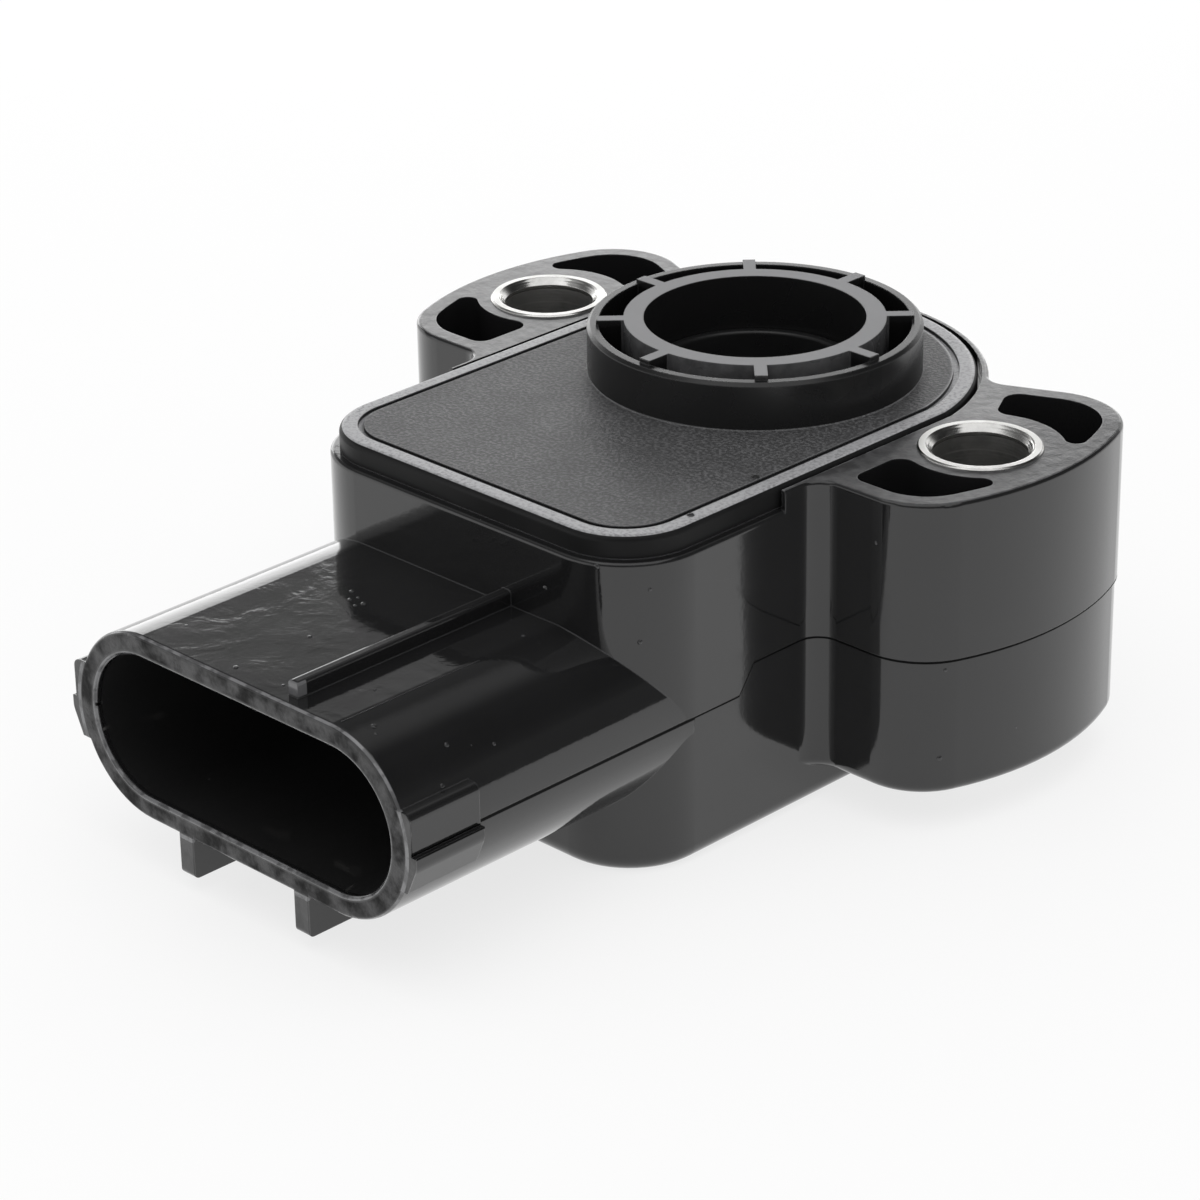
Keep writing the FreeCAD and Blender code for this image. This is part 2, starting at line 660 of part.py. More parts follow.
def stop_lugs():
    """Start angles of the two stop lugs, either side of the stop tab's travel."""
    keep = size("stop_half_angle") + size("stop_clear_angle")
    low = size("turn_start") - keep - size("stop_wide_angle")
    high = size("turn_start") + size("turn_range") + keep
    return (
        (low, "{turn_start} - {stop_half_angle} - {stop_clear_angle} - {stop_wide_angle}"),
        (high, "{turn_start} + {turn_range} + {stop_half_angle} + {stop_clear_angle}"),
    )


def hook_start():
    """The rotor's spring hook stands just before the lower leg of the return spring."""
    start = size("leg_angle") - size("leg_play_angle") - size("hook_angle")
    return start, "{leg_angle} - {leg_play_angle} - {hook_angle}"


# Housing: one moulding with body, ears and connector shroud
housing = new_body("housing")

apron_sketch = sketch_on(housing, "ApronOutline", "XY_Plane", "-{parting_front}")
flank_angle(apron_sketch, outline_with_ears(apron_sketch, None))
apron = grow(housing, "Pad", apron_sketch, "Apron", "{parting_front} - {ear_drop}")

# The tool's parting line drops from the ears to the shroud's mid height along a slant
step_sketch = sketch_on(housing, "PartingStep", "YZ_Plane", None)
py, ps = size("parting_front_y"), size("parting_slant")
pz, pe = size("parting_front"), size("parting_ear")
profile(step_sketch, [
    ("-{parting_front_y}", -py, "-{parting_front}", -pz),
    ("{ear_side_radius}", size("ear_side_radius"), "-{parting_front}", -pz),
    ("{ear_side_radius}", size("ear_side_radius"), "-{parting_ear}", -pe),
    ("{parting_slant} - {parting_front_y}", ps - py, "-{parting_ear}", -pe),
])
step = grow(housing, "Pocket", step_sketch, "PartingCut", "4 * {hole_spacing}")
step.Midplane = True

low_ear_sketch = sketch_on(housing, "LowEarOutline", "XY_Plane", "-{ear_deep}")
flank_angle(low_ear_sketch, outline_with_ears(low_ear_sketch, "parting_step"))
low_ears = grow(housing, "Pad", low_ear_sketch, "LowEars", "{ear_deep} - {parting_ear}")
ear_round = dress(housing, "Fillet", "EarBottomRound", low_ears,
                  lambda e: flat_at(e, -size("ear_deep")), "{ear_bottom_round}")

low_sketch = sketch_on(housing, "LowBodyOutline", "XY_Plane", "-{body_deep}")
tombstone(low_sketch, "low")
low_body = grow(housing, "Pad", low_sketch, "LowBody", "{body_deep} - {parting_ear}")
bottom = dress(housing, "Fillet", "BodyBottomRound", low_body,
               lambda e: flat_at(e, -size("body_deep")), "{body_bottom_round}")

# Connector shroud with side rails, a rib on top and two ribs below
shroud_sketch = sketch_on(housing, "ShroudOutline", "XZ_Plane", "{mouth_front}")
stadium(shroud_sketch, "shroud_half_width", "shroud_half_tall", "shroud_centre")
shroud = grow(housing, "Pad", shroud_sketch, "Shroud", "{mouth_front} - {body_front} + {body_corner}", True)

# Side rails at the mouth: square above the parting line, prouder and rounded off below it
rail_sketch = sketch_on(housing, "RailOutline", "XZ_Plane", "{mouth_front}")
for s in (1, -1):
    sx = "" if s > 0 else "-"
    profile(rail_sketch, [
        (sx + x, s * size(x[1:-1]), z, z_value)
        for x, z, z_value in (
            ("{socket_half_width}", "{rail_high}", size("rail_high")),
            ("{rail_x}", "{rail_high}", size("rail_high")),
            ("{rail_x}", "-{shroud_centre}", -size("shroud_centre")),
            ("{rail_low_x}", "-{shroud_centre}", -size("shroud_centre")),
            ("{rail_low_x}", "-{rail_bend}", -size("rail_bend")),
            ("{rail_foot_x}", "-{rail_foot}", -size("rail_foot")),
            ("{socket_half_width}", "-{rail_foot}", -size("rail_foot")),
        )
    ])
rails = grow(housing, "Pad", rail_sketch, "Rails", "{mouth_front} - {rail_back}", True)
top_rib = block(housing, "TopRib", False, "{top_rib_x} - {top_rib_wide} / 2",
                "{top_rib_back} - {mouth_front}", "{shroud_half_tall} - {shroud_centre} - {shroud_wall}",
                "{top_rib_wide}", "{mouth_front} - {body_front} - {top_rib_back} + {wall}",
                "{shroud_wall} + {top_rib_tall}")
low_ribs = []
for s, side_name in ((1, "Right"), (-1, "Left")):
    sign = "" if s > 0 else "-"
    low_ribs.append(block(
        housing, "LowRib" + side_name, False, "%s{low_rib_x} - {low_rib_wide} / 2" % sign,
        "-{mouth_front}", "-{shroud_centre} - {shroud_half_tall} - {low_rib_tall}", "{low_rib_wide}",
        "{mouth_front} - {body_front} + {wall}", "{low_rib_tall} + {shroud_wall} / 2"))


def long_edge(edge, x, z):
    """An edge along the shroud at a distance from its middle and at a level."""
    box = edge.BoundBox
    if box.YLength < 5 or box.XLength > 1e-4 or box.ZLength > 1e-4:
        return False
    return abs(abs(box.XMin) - x) < 1e-4 and abs(box.ZMin - z) < 1e-4


def rib_edge(edge, level, back):
    """An edge of a rib's free face, no further back than a distance in front of the axis."""
    straight = edge.Curve.TypeId == "Part::GeomLine"
    return straight and flat_at(edge, level) and edge.BoundBox.YMin < -back + 1e-4


rail_round = dress(housing, "Fillet", "RailRound", low_ribs[1],
                   lambda e: long_edge(e, size("rail_x"), size("rail_high")), "{rail_round}")
rail_low_round = dress(housing, "Fillet", "RailLowRound", rail_round,
                       lambda e: long_edge(e, size("rail_low_x"), -size("rail_bend")), "{rail_low_round}")
rib_end = size("body_front") + size("top_rib_back")
top_rib_round = dress(housing, "Fillet", "TopRibRound", rail_low_round,
                      lambda e: rib_edge(e, size("top_rib_level"), rib_end), "{top_rib_round}")
low_rib_round = dress(
    housing, "Fillet", "LowRibRound", top_rib_round,
    lambda e: rib_edge(e, -size("low_rib_level"), size("mouth_front")) and e.BoundBox.YLength < 1e-4,
    "{low_rib_round}")

# Seat of the cover, open to the front where the ledge runs round the plate
seat_sketch = sketch_on(housing, "CoverSeat", "XY_Plane", None)
tombstone(seat_sketch, "seat")
seat = grow(housing, "Pocket", seat_sketch, "CoverSeatCut", "{cover_thick}")
front_ledge = block(housing, "FrontLedge", True, "-{hole_spacing}", "-{mouth_front}", "-{cover_thick}",
                    "2 * {hole_spacing}", "{mouth_front} - {ear_top_front}", "{cover_thick}")

# Inner cavity, shelf of the resistor board and bearing boss
cavity_sketch = sketch_on(housing, "CavityOutline", "XY_Plane", "-{cover_thick}")
tombstone(cavity_sketch, "cavity")
cavity = grow(housing, "Pocket", cavity_sketch, "Cavity", "{shelf_deep} - {cover_thick}")
pit_sketch = sketch_on(housing, "PitOutline", "XY_Plane", "-{shelf_deep}")
tombstone(pit_sketch, "pit")
pit = grow(housing, "Pocket", pit_sketch, "Pit", "{body_deep} - {floor_wall} - {shelf_deep}")
bead_sketch = sketch_on(housing, "BeadOutline", "XY_Plane", "-{cover_thick}")
tombstone(bead_sketch, "bead")
tombstone(bead_sketch, "bead_in")
bead_channel = grow(housing, "Pocket", bead_sketch, "BeadChannel", "{bead_deep}")
boss = post(housing, "BearingBoss", False, "{boss_radius}", "0", "{floor_wall} - {body_deep}",
            "{body_deep} - {floor_wall} - {boss_top}")
pivot_hole = post(housing, "PivotHole", True, "{pivot_bore}", "0", "-{pivot_low} - {pivot_chamfer}",
                  "{pivot_low} + {pivot_chamfer} - {boss_top}")

lug_sketch = sketch_on(housing, "StopLugs", "XY_Plane", "-{shelf_deep}")
for start, formula in stop_lugs():
    sector(lug_sketch, ("stop_lug_radius", "stop_lug_root"), start, formula, "stop_wide_angle")
lugs = grow(housing, "Pad", lug_sketch, "StopLugPosts", "{shelf_deep} - {lug_top}")

# Socket of the connector, with a lead-in at its mouth and slots for the terminals
socket_sketch = sketch_on(housing, "SocketOutline", "XZ_Plane", "{mouth_front}")
stadium(socket_sketch, "socket_half_width", "socket_half_tall", "shroud_centre")
socket = grow(housing, "Pocket", socket_sketch, "Socket", "{socket_deep}")
slots = []
for i, slot_name in ((-1, "Left"), (0, "Centre"), (1, "Right")):
    slots.append(block(
        housing, "TerminalSlot" + slot_name, True, "%d * {terminal_pitch} - {terminal_wide} / 2" % i,
        "-{mouth_front} + {socket_deep} - {wall}", "-{terminal_low}", "{terminal_wide}",
        "{mouth_front} - {socket_deep} + 2 * {wall} - {cavity_front}", "{terminal_thick}"))

# Bushing bores and the four core-outs of the ears
bores = []
for s, side_name in ((1, "Right"), (-1, "Left")):
    sign = "" if s > 0 else "-"
    bores.append(post(housing, "BushingBore" + side_name, True, "{bushing_radius}", sign + "{hole_x}",
                      "-{body_deep}", "{body_deep}"))


def core_loop(sketch, s, t):
    """Kidney between the bushing's wall and the ear's wall; s picks the ear, t its front or rear."""
    p = ear_points(0.0)
    shift = p["shift"]
    # the rear kidney widens inward under a roof that follows the ear's flank
    wide_name = "core_rear_x" if t > 0 else "core_x"
    lean = p["flank"] if t > 0 else 90.0
    x1 = size(wide_name)
    lobe, outer = size("core_lobe"), size("core_outer")
    boss_radius, x0, hx = size("core_boss"), size("core_x"), size("hole_x")
    lx, ly, centre = p["lx"], p["ly"], p["centre"]
    swing = p["swing"]
    # where the outer wall's arc meets the bushing wall
    gap = hx - centre
    reach = (outer ** 2 - boss_radius ** 2 + gap ** 2) / (2 * gap)
    meet_y = math.sqrt(outer ** 2 - reach ** 2)
    meet_x = centre + reach
    start_y = math.sqrt(boss_radius ** 2 - (x0 - hx) ** 2)
    roof_x = lx + lobe * math.cos(math.radians(lean))
    roof_y = ly + lobe * math.sin(math.radians(lean))
    end_y = roof_y + (roof_x - x1) / math.tan(math.radians(lean))
    a_start = math.degrees(math.atan2(start_y, x0 - hx))
    a_meet = math.degrees(math.atan2(meet_y, meet_x - hx))
    a_outer = math.degrees(math.atan2(meet_y, meet_x - centre))

    def turned(cx, cy, radius, start, end):
        if t < 0:
            cy, start, end = -cy, -end, -start
        return mirror_arc(cx, cy + shift, radius, start, end, s)

    add = sketch.addConstraint
    boss_arc = sketch.addGeometry(turned(hx, 0, boss_radius, a_meet, a_start), False)
    wall_arc = sketch.addGeometry(turned(centre, 0, outer, a_outer, swing), False)
    lobe_arc = sketch.addGeometry(turned(lx, ly, lobe, swing, lean), False)
    roof = sketch.addGeometry(line(s * roof_x, t * roof_y + shift, s * x1, t * end_y + shift), False)
    side = sketch.addGeometry(line(s * x1, t * end_y + shift, s * x0, t * start_y + shift), False)
    # an arc that is mirrored once swaps its two ends
    a, b = (1, 2) if s * t > 0 else (2, 1)
    add(Sketcher.Constraint("Coincident", boss_arc, a, wall_arc, a))
    add(Sketcher.Constraint("Tangent", wall_arc, b, lobe_arc, a))
    add(Sketcher.Constraint("Tangent", lobe_arc, b, roof, 1))
    add(Sketcher.Constraint("Coincident", roof, 2, side, 1))
    add(Sketcher.Constraint("Coincident", side, 2, boss_arc, b))
    if t > 0:
        lean_line(sketch, roof, s)
    else:
        add(Sketcher.Constraint("Horizontal", roof))
    sx = "" if s > 0 else "-"
    tie(sketch, "Radius", boss_arc, boss_radius, "{core_boss}")
    tie(sketch, "Radius", wall_arc, outer, "{core_outer}")
    tie(sketch, "Radius", lobe_arc, lobe, "{core_lobe}")
    place_point(sketch, boss_arc, 3, s * hx, shift, sx + "{hole_x}", "{ear_shift}")
    lobe_y = "{lobe_rear_y}" if t > 0 else "-{lobe_front_y}"
    place_point(sketch, lobe_arc, 3, s * lx, t * ly + shift, sx + "{lobe_x}", lobe_y)
    tie(sketch, "DistanceY", -1, shift, "{ear_shift}", 1, wall_arc, 3)
    tie(sketch, "DistanceX", -1, s * x1, sx + "{%s}" % wide_name, 1, side, 1)
    tie(sketch, "DistanceX", -1, s * x0, sx + "{core_x}", 1, side, 2)


core_sketch = sketch_on(housing, "CoreOutline", "XY_Plane", "-{ear_drop}")
for s in (1, -1):
    for t in (1, -1):
        core_loop(core_sketch, s, t)
cores = grow(housing, "Pocket", core_sketch, "EarCores", "{core_deep}")


def core_corner(edge):
    box = edge.BoundBox
    if box.XLength > 1e-4 or box.YLength > 1e-4 or abs(box.ZMax + size("ear_drop")) > 1e-3:
        return False
    if abs(box.ZLength - size("core_deep")) > 1e-3:
        return False
    return len(edge.Vertexes) == 2


def at_side(edge, name):
    return abs(abs(edge.BoundBox.XMin) - size(name)) < 0.01


core_round = dress(housing, "Fillet", "CoreRound", cores,
                   lambda e: core_corner(e) and at_side(e, "core_x"), "{core_round}")
core_rear_round = dress(housing, "Fillet", "CoreRearRound", core_round,
                        lambda e: core_corner(e) and at_side(e, "core_rear_x"), "{core_rear_round}")
tip_round = dress(housing, "Fillet", "CoreTipRound", core_rear_round,
                  lambda e: core_corner(e) and abs(e.BoundBox.XMin) > size("hole_x"), "{core_tip_round}")


def mouth_edge(edge, half_width, half_tall):
    """Edges of an oval in the plane of the shroud's mouth."""
    box = edge.BoundBox
    if abs(box.YMin + size("mouth_front")) > 1e-4 or abs(box.YMax + size("mouth_front")) > 1e-4:
        return False
    middle = edge.valueAt((edge.FirstParameter + edge.LastParameter) / 2)
    flat = size(half_width) - size(half_tall)
    reach = math.hypot(max(abs(middle.x) - flat, 0), middle.z + size("shroud_centre"))
    return abs(reach - size(half_tall)) < 1e-3


lead_in = dress(housing, "Chamfer", "MouthLeadIn", tip_round,
                lambda e: mouth_edge(e, "socket_half_width", "socket_half_tall"), "{mouth_lead_in}")


def top_edge(edge):
    """Outer top edges of the ears and of the ledge in front."""
    middle = edge.valueAt((edge.FirstParameter + edge.LastParameter) / 2)
    reach = math.hypot(middle.x, middle.y)
    if flat_at(edge, -size("cover_thick")):
        hw, fr = size("body_half_width"), size("body_front")
        rc = size("body_corner")
        dx, dy = abs(middle.x) - (hw - rc), -middle.y - (fr - rc)
        if dx > 0 and dy > 0:
            return abs(math.hypot(dx, dy) - rc) < 1e-3
        on_side = abs(abs(middle.x) - hw) < 1e-4 and -middle.y > size("ear_top_front")
        return on_side or abs(middle.y + fr) < 1e-4
    if not flat_at(edge, -size("ear_drop")):
        return False
    if abs(middle.x) > size("body_half_width") - 1e-4:
        p = ear_points(0.0)
        along = middle.y - p["shift"]
        lobe = math.hypot(abs(middle.x) - p["lx"], abs(along) - p["ly"])
        outer = math.hypot(abs(middle.x) - p["centre"], along)
        low = p["shift"] - p["ly"] - p["lobe"]
        root = math.hypot(abs(middle.x) - p["hw"] - p["rf"], middle.y - low + p["rf"])
        straight = abs(abs(middle.x) - p["hw"]) < 1e-4
        flank = abs(middle.y - low) < 1e-4
        return (abs(lobe - p["lobe"]) < 1e-3 or abs(outer - p["side"]) < 1e-3
                or abs(root - p["rf"]) < 1e-3 or straight or flank)
    return False


top_round = dress(housing, "Fillet", "TopRound", lead_in, top_edge, "{top_round}")
mouth_round = dress(housing, "Fillet", "MouthRound", top_round,
                    lambda e: mouth_edge(e, "shroud_half_width", "shroud_half_tall"), "{mouth_round}")

# Cover: plate with sealing groove, skirt, and pilot collar with spokes
cover = new_body("cover")
plate_sketch = sketch_on(cover, "PlateOutline", "XY_Plane", "-{cover_thick}")
tombstone(plate_sketch, "cover")
plate = grow(cover, "Pad", plate_sketch, "Plate", "{cover_thick}")
plate_round = dress(cover, "Fillet", "PlateRound", plate, lambda e: flat_at(e, 0.0), "{cover_edge_round}")
groove_sketch = sketch_on(cover, "GrooveOutline", "XY_Plane", None)
tombstone(groove_sketch, "line")
tombstone(groove_sketch, "panel")
groove = grow(cover, "Pocket", groove_sketch, "Groove", "{groove_deep}")
skirt_sketch = sketch_on(cover, "SkirtOutline", "XY_Plane", "-{cover_thick}")
tombstone(skirt_sketch, "skirt")
tombstone(skirt_sketch, "well")
skirt = grow(cover, "Pad", skirt_sketch, "Skirt", "{skirt_drop}", True)
collar = post(cover, "Collar", False, "{collar_radius}", "0", "0", "{collar_tall}")
collar_edge = dress(cover, "Chamfer", "CollarChamfer", collar,
                    lambda e: round_at(e, size("collar_radius"), size("collar_tall")), "{collar_chamfer}")
ring_sketch = sketch_on(cover, "CollarPocketOutline", "XY_Plane", "{collar_tall}")
circle_on(ring_sketch, "collar_inner")
circle_on(ring_sketch, "hub_ring_radius")
ring = grow(cover, "Pocket", ring_sketch, "CollarPocket", "{collar_tall} - {collar_pocket_floor}")
hub = post(cover, "HubRing", False, "{hub_ring_radius}", "0", "0", "{hub_ring_tall}")
spoke = block(cover, "Spoke", False, "{hub_bore}", "-{spoke_wide} / 2", "0",
              "{collar_inner} + {spoke_bite} - {hub_bore}", "{spoke_wide}", "{hub_ring_tall}")
spokes = cover.newObject("PartDesign::PolarPattern", "Spokes")
spokes.Originals = [spoke]
z_axis = [f for f in cover.Origin.OriginFeatures if f.Role == "Z_Axis"][0]
spokes.Axis = (z_axis, [""])
spokes.Angle = 360
bind(spokes, "Occurrences", "{spoke_count}")
cover.Tip = spokes
bore = post(cover, "HubBore", True, "{hub_bore}", "0", "-{cover_thick}", "{cover_thick} + {hub_ring_tall}")


def ring_of(edge, radius):
    return isinstance(edge.Curve, Part.Circle) and abs(edge.Curve.Radius - size(radius)) < 1e-4


# Steel bushings that carry the mounting screws through the ears
for s, side_name in ((1, "right"), (-1, "left")):
    sign = "" if s > 0 else "-"
    bushing = new_body("bushing_" + side_name)
    tall = "{ear_deep} + {bushing_proud}"
    foot = "-{ear_deep} - {bushing_proud}"
    post(bushing, "Tube" + side_name, False, "{bushing_radius}", sign + "{hole_x}", foot, tall)
    inner = post(bushing, "Bore" + side_name, True, "{bushing_bore}", sign + "{hole_x}", foot, tall)
    ends = dress(bushing, "Chamfer", "BoreEnds" + side_name, inner,
                 lambda e: ring_of(e, "bushing_bore"), "{bushing_chamfer}")
    dress(bushing, "Chamfer", "OuterEnds" + side_name, ends,
          lambda e: ring_of(e, "bushing_radius"), "{bushing_edge}")

# Rotor: journal, cup for the throttle shaft, disc with stop tab, and pivot
rotor = new_body("rotor")
rotor_sketch = sketch_on(rotor, "RotorProfile", "XZ_Plane", None)
corners = [
    ("0", "-{pivot_low}"),
    ("{pivot_radius} - {pivot_chamfer}", "-{pivot_low}"),
    ("{pivot_radius}", "{pivot_chamfer} - {pivot_low}"),
    ("{pivot_radius}", "-{step_low}"),
    ("{rotor_step}", "-{step_low}"),
    ("{rotor_step}", "-{disc_low}"),
    ("{rotor_disc}", "-{disc_low}"),
    ("{rotor_disc}", "-{disc_top}"),
    ("{rotor_hub}", "-{disc_top}"),
    ("{rotor_hub}", "-{hub_top}"),
    ("{journal_radius}", "-{hub_top}"),
    ("{journal_radius}", "-{rotor_top_drop}"),
    ("{rotor_cup}", "-{rotor_top_drop}"),
    ("{rotor_cup}", "-{cup_floor}"),
    ("{socket_post}", "-{cup_floor}"),
    ("{socket_post}", "-{post_top}"),
    ("0", "-{post_top}"),
]
values = {"0": 0.0}
values["{pivot_radius} - {pivot_chamfer}"] = size("pivot_radius") - size("pivot_chamfer")
values["{pivot_chamfer} - {pivot_low}"] = size("pivot_chamfer") - size("pivot_low")


def corner_value(formula):
    if formula in values:
        return values[formula]
    sign = -1 if formula.startswith("-") else 1
    return sign * size(formula.strip("-{}"))


profile(rotor_sketch, [(x, corner_value(x), z, corner_value(z)) for x, z in corners])
turned = rotor.newObject("PartDesign::Revolution", "Turned")
turned.Profile = rotor_sketch
turned.ReferenceAxis = (rotor_sketch, ["V_Axis"])
turned.Angle = 360
tab_sketch = sketch_on(rotor, "StopTab", "XY_Plane", "-{disc_low}")
sector(tab_sketch, ("rotor_hub", "stop_radius"), size("turn_start") - size("stop_half_angle"),
       "{turn_start} - {stop_half_angle}", "stop_angle")
tab = grow(rotor, "Pad", tab_sketch, "StopTabPad", "{rotor_disc_thick}")
slot = block(rotor, "BladeSlot", True, "-{blade_long} / 2", "-{blade_wide} / 2", "-{blade_low}",
             "{blade_long}", "{blade_wide}", "{blade_low} - {post_top}")
hook_sketch = sketch_on(rotor, "SpringHook", "XY_Plane", "-{disc_top}")
sector(hook_sketch, ("hook_inner", "hook_outer"), hook_start()[0], hook_start()[1], "hook_angle")
hook = grow(rotor, "Pad", hook_sketch, "SpringHookPad", "{hook_tall}")
rim_round = dress(rotor, "Fillet", "RimRound", hook,
                  lambda e: flat_at(e, -size("rotor_top_drop")), "{rotor_top_round}")

# Return spring: a torsion coil of square wire round the hub; it winds tighter as the rotor turns.
# One leg leaves each end along a radius, the upper one a quarter turn after the lower one
spring = new_body("return_spring")
wire_sketch = sketch_on(spring, "WireSection", "XZ_Plane", None)
near, far = size("coil_radius") - size("wire_half"), size("coil_radius") + size("wire_half")
foot, head = -size("coil_low") - size("wire_half"), -size("coil_low") + size("wire_half")
near_name, far_name = "{coil_radius} - {wire_half}", "{coil_radius} + {wire_half}"
foot_name, head_name = "-{coil_low} - {wire_half}", "{wire_half} - {coil_low}"
profile(wire_sketch, [
    (near_name, near, foot_name, foot),
    (far_name, far, foot_name, foot),
    (far_name, far, head_name, head),
    (near_name, near, head_name, head),
])
coil = spring.newObject("PartDesign::AdditiveHelix", "Coil")
coil.Profile = wire_sketch
coil.ReferenceAxis = (wire_sketch, ["V_Axis"])
coil.Mode = "pitch-turns-angle"
coil.LeftHanded = True
bind(coil, "Pitch", "{coil_pitch}")
bind(coil, "Turns", "{coil_turns}")
block(spring, "LowLeg", False, near_name, "0", foot_name,
      "{low_leg_long} + {wire_half}", "2 * {wire_half}", "2 * {wire_half}")
block(spring, "TopLeg", False, "0", near_name, "-{coil_top} - {wire_half}",
      "2 * {wire_half}", "{top_leg_long} + {wire_half}", "2 * {wire_half}")
spring.Placement = FreeCAD.Placement(V(0, 0, 0), FreeCAD.Rotation(V(0, 0, 1), size("leg_angle")))

# Wiper: sheet under the disc with two pairs of spring tines, one pair on each printed track
wiper = new_body("wiper")
sheet_sketch = sketch_on(wiper, "WiperSheet", "XY_Plane", "-{disc_low} - {wiper_sheet}")
sector(sheet_sketch, ("wiper_inner", "wiper_outer"), -size("wiper_wide_angle") / 2,
       "-{wiper_wide_angle} / 2", "wiper_wide_angle")
wiper_pad = grow(wiper, "Pad", sheet_sketch, "WiperSheetPad", "{wiper_sheet}")
for radius in ("collector_radius", "track_radius"):
    for s in (1, -1):
        name = radius.split("_")[0].title() + ("Outer" if s > 0 else "Inner")
        place = "{%s} %s {tine_offset} - {tine_wide} / 2" % (radius, "+" if s > 0 else "-")
        tine_sketch = sketch_on(wiper, "Tine" + name, "YZ_Plane", place)
        top, foot = size("disc_low") + size("wiper_sheet"), size("ink_top") - size("tine_gap")
        reach, thick, tip = size("tine_reach"), size("wiper_sheet"), size("tine_tip")
        profile(tine_sketch, [
            ("{tine_root}", size("tine_root"), "-{disc_low} - {wiper_sheet} / 2", -top + thick / 2),
            ("{tine_root}", size("tine_root"), "-{disc_low} - {wiper_sheet}", -top),
            ("{tine_root} - {tine_reach}", size("tine_root") - reach, "{tine_gap} - {ink_top}", -foot),
            ("{tine_root} - {tine_reach} - {tine_tip}", size("tine_root") - reach - tip,
             "{tine_gap} - {ink_top}", -foot),
            ("{tine_root} - {tine_reach} - 2.4 * {tine_tip}", size("tine_root") - reach - 2.4 * tip,
             "{tine_gap} - {ink_top} + {tine_tip}", -foot + tip),
            ("{tine_root} - {tine_reach} - 2 * {tine_tip}", size("tine_root") - reach - 2 * tip,
             "{tine_gap} - {ink_top} + {tine_tip} + {wiper_sheet}", -foot + tip + thick),
            ("{tine_root} - {tine_reach} - {tine_tip}", size("tine_root") - reach - tip,
             "{tine_gap} - {ink_top} + {wiper_sheet} * 1.2", -foot + 1.2 * thick),
            ("{tine_root} - {tine_reach}", size("tine_root") - reach,
             "{tine_gap} - {ink_top} + {wiper_sheet} * 1.2", -foot + 1.2 * thick),
            ("{tine_root} - 0.7 * {tine_tip}", size("tine_root") - 0.7 * tip,
             "-{disc_low} - {wiper_sheet} / 2", -top + thick / 2),
        ])
        grow(wiper, "Pad", tine_sketch, "TinePad" + name, "{tine_wide}")
wiper.Placement = FreeCAD.Placement(V(0, 0, 0), FreeCAD.Rotation(V(0, 0, 1), size("turn_start")))

# Conical disc spring on the bearing boss, pressing the rotor up
washer = new_body("disc_spring")
washer_sketch = sketch_on(washer, "WasherProfile", "XZ_Plane", None)
wi, wo = size("washer_inner"), size("washer_outer")
wl, ws, wr = size("boss_top"), size("washer_sheet"), size("washer_rise")
profile(washer_sketch, [
    ("{washer_inner}", wi, "{washer_rise} - {boss_top}", wr - wl),
    ("{washer_outer}", wo, "-{boss_top}", -wl),
    ("{washer_outer}", wo, "{washer_sheet} - {boss_top}", ws - wl),
    ("{washer_inner}", wi, "{washer_rise} + {washer_sheet} - {boss_top}", wr + ws - wl),
])
washer_turn = washer.newObject("PartDesign::Revolution", "WasherTurned")
washer_turn.Profile = washer_sketch
washer_turn.ReferenceAxis = (washer_sketch, ["V_Axis"])
washer_turn.Angle = 360

# Rubber ring between the cover and the rotor's shoulder
seal = new_body("rotor_seal")
seal_sketch = sketch_on(seal, "SealOutline", "XY_Plane", "-{seal_low}")
circle_on(seal_sketch, "seal_outer")
circle_on(seal_sketch, "hub_bore")
seal_pad = grow(seal, "Pad", seal_sketch, "SealPad", "{seal_tall}")


def seal_rim(edge):
    return isinstance(edge.Curve, Part.Circle) and abs(edge.Curve.Radius - size("seal_outer")) < 1e-4


seal_edge = dress(seal, "Chamfer", "SealEdge", seal_pad, seal_rim, "{seal_tall} / 4")

# Sealing bead that fills the channel under the cover's rim
bead = new_body("cover_seal")
bead_ring = sketch_on(bead, "BeadRing", "XY_Plane", "-{cover_thick} - {bead_deep}")
tombstone(bead_ring, "bead")
tombstone(bead_ring, "bead_in")
bead_pad = grow(bead, "Pad", bead_ring, "BeadPad", "{bead_deep}")

# Resistor board: hole for the rotor and two notches for the stop lugs
board = new_body("resistor_board")
board_sketch = sketch_on(board, "BoardOutline", "XY_Plane", "-{shelf_deep}")
tombstone(board_sketch, "board")
circle_on(board_sketch, "board_hole")
board_pad = grow(board, "Pad", board_sketch, "BoardPad", "{board_thick}")
notch_sketch = sketch_on(board, "BoardNotches", "XY_Plane", "-{board_top}")
for start, formula in stop_lugs():
    sector(notch_sketch, ("notch_radius", "notch_root"), start - size("notch_clear_angle"),
           formula + " - {notch_clear_angle}", "notch_angle")
grow(board, "Pocket", notch_sketch, "BoardNotchCut", "{board_thick}")


def ink_ring(body, name, radii, start, formula, wide):
    ring_outline = sketch_on(body, name, "XY_Plane", "-{board_top}")
    sector(ring_outline, radii, start, formula, wide)
    return grow(body, "Pad", ring_outline, name + "Pad", "{ink_thick}")


def ink_leg(body, name, x, start):
    """Straight trace towards the connector, with a pad at its end."""
    block(body, name + "Trace", False, x + " - {trace_wide} / 2", "-{pad_front}", "-{board_top}",
          "{trace_wide}", "{pad_front} - " + start, "{ink_thick}")
    block(body, name + "Land", False, x + " - {pad_wide} / 2", "-{pad_front}", "-{board_top}",
          "{pad_wide}", "{pad_long}", "{ink_thick}")


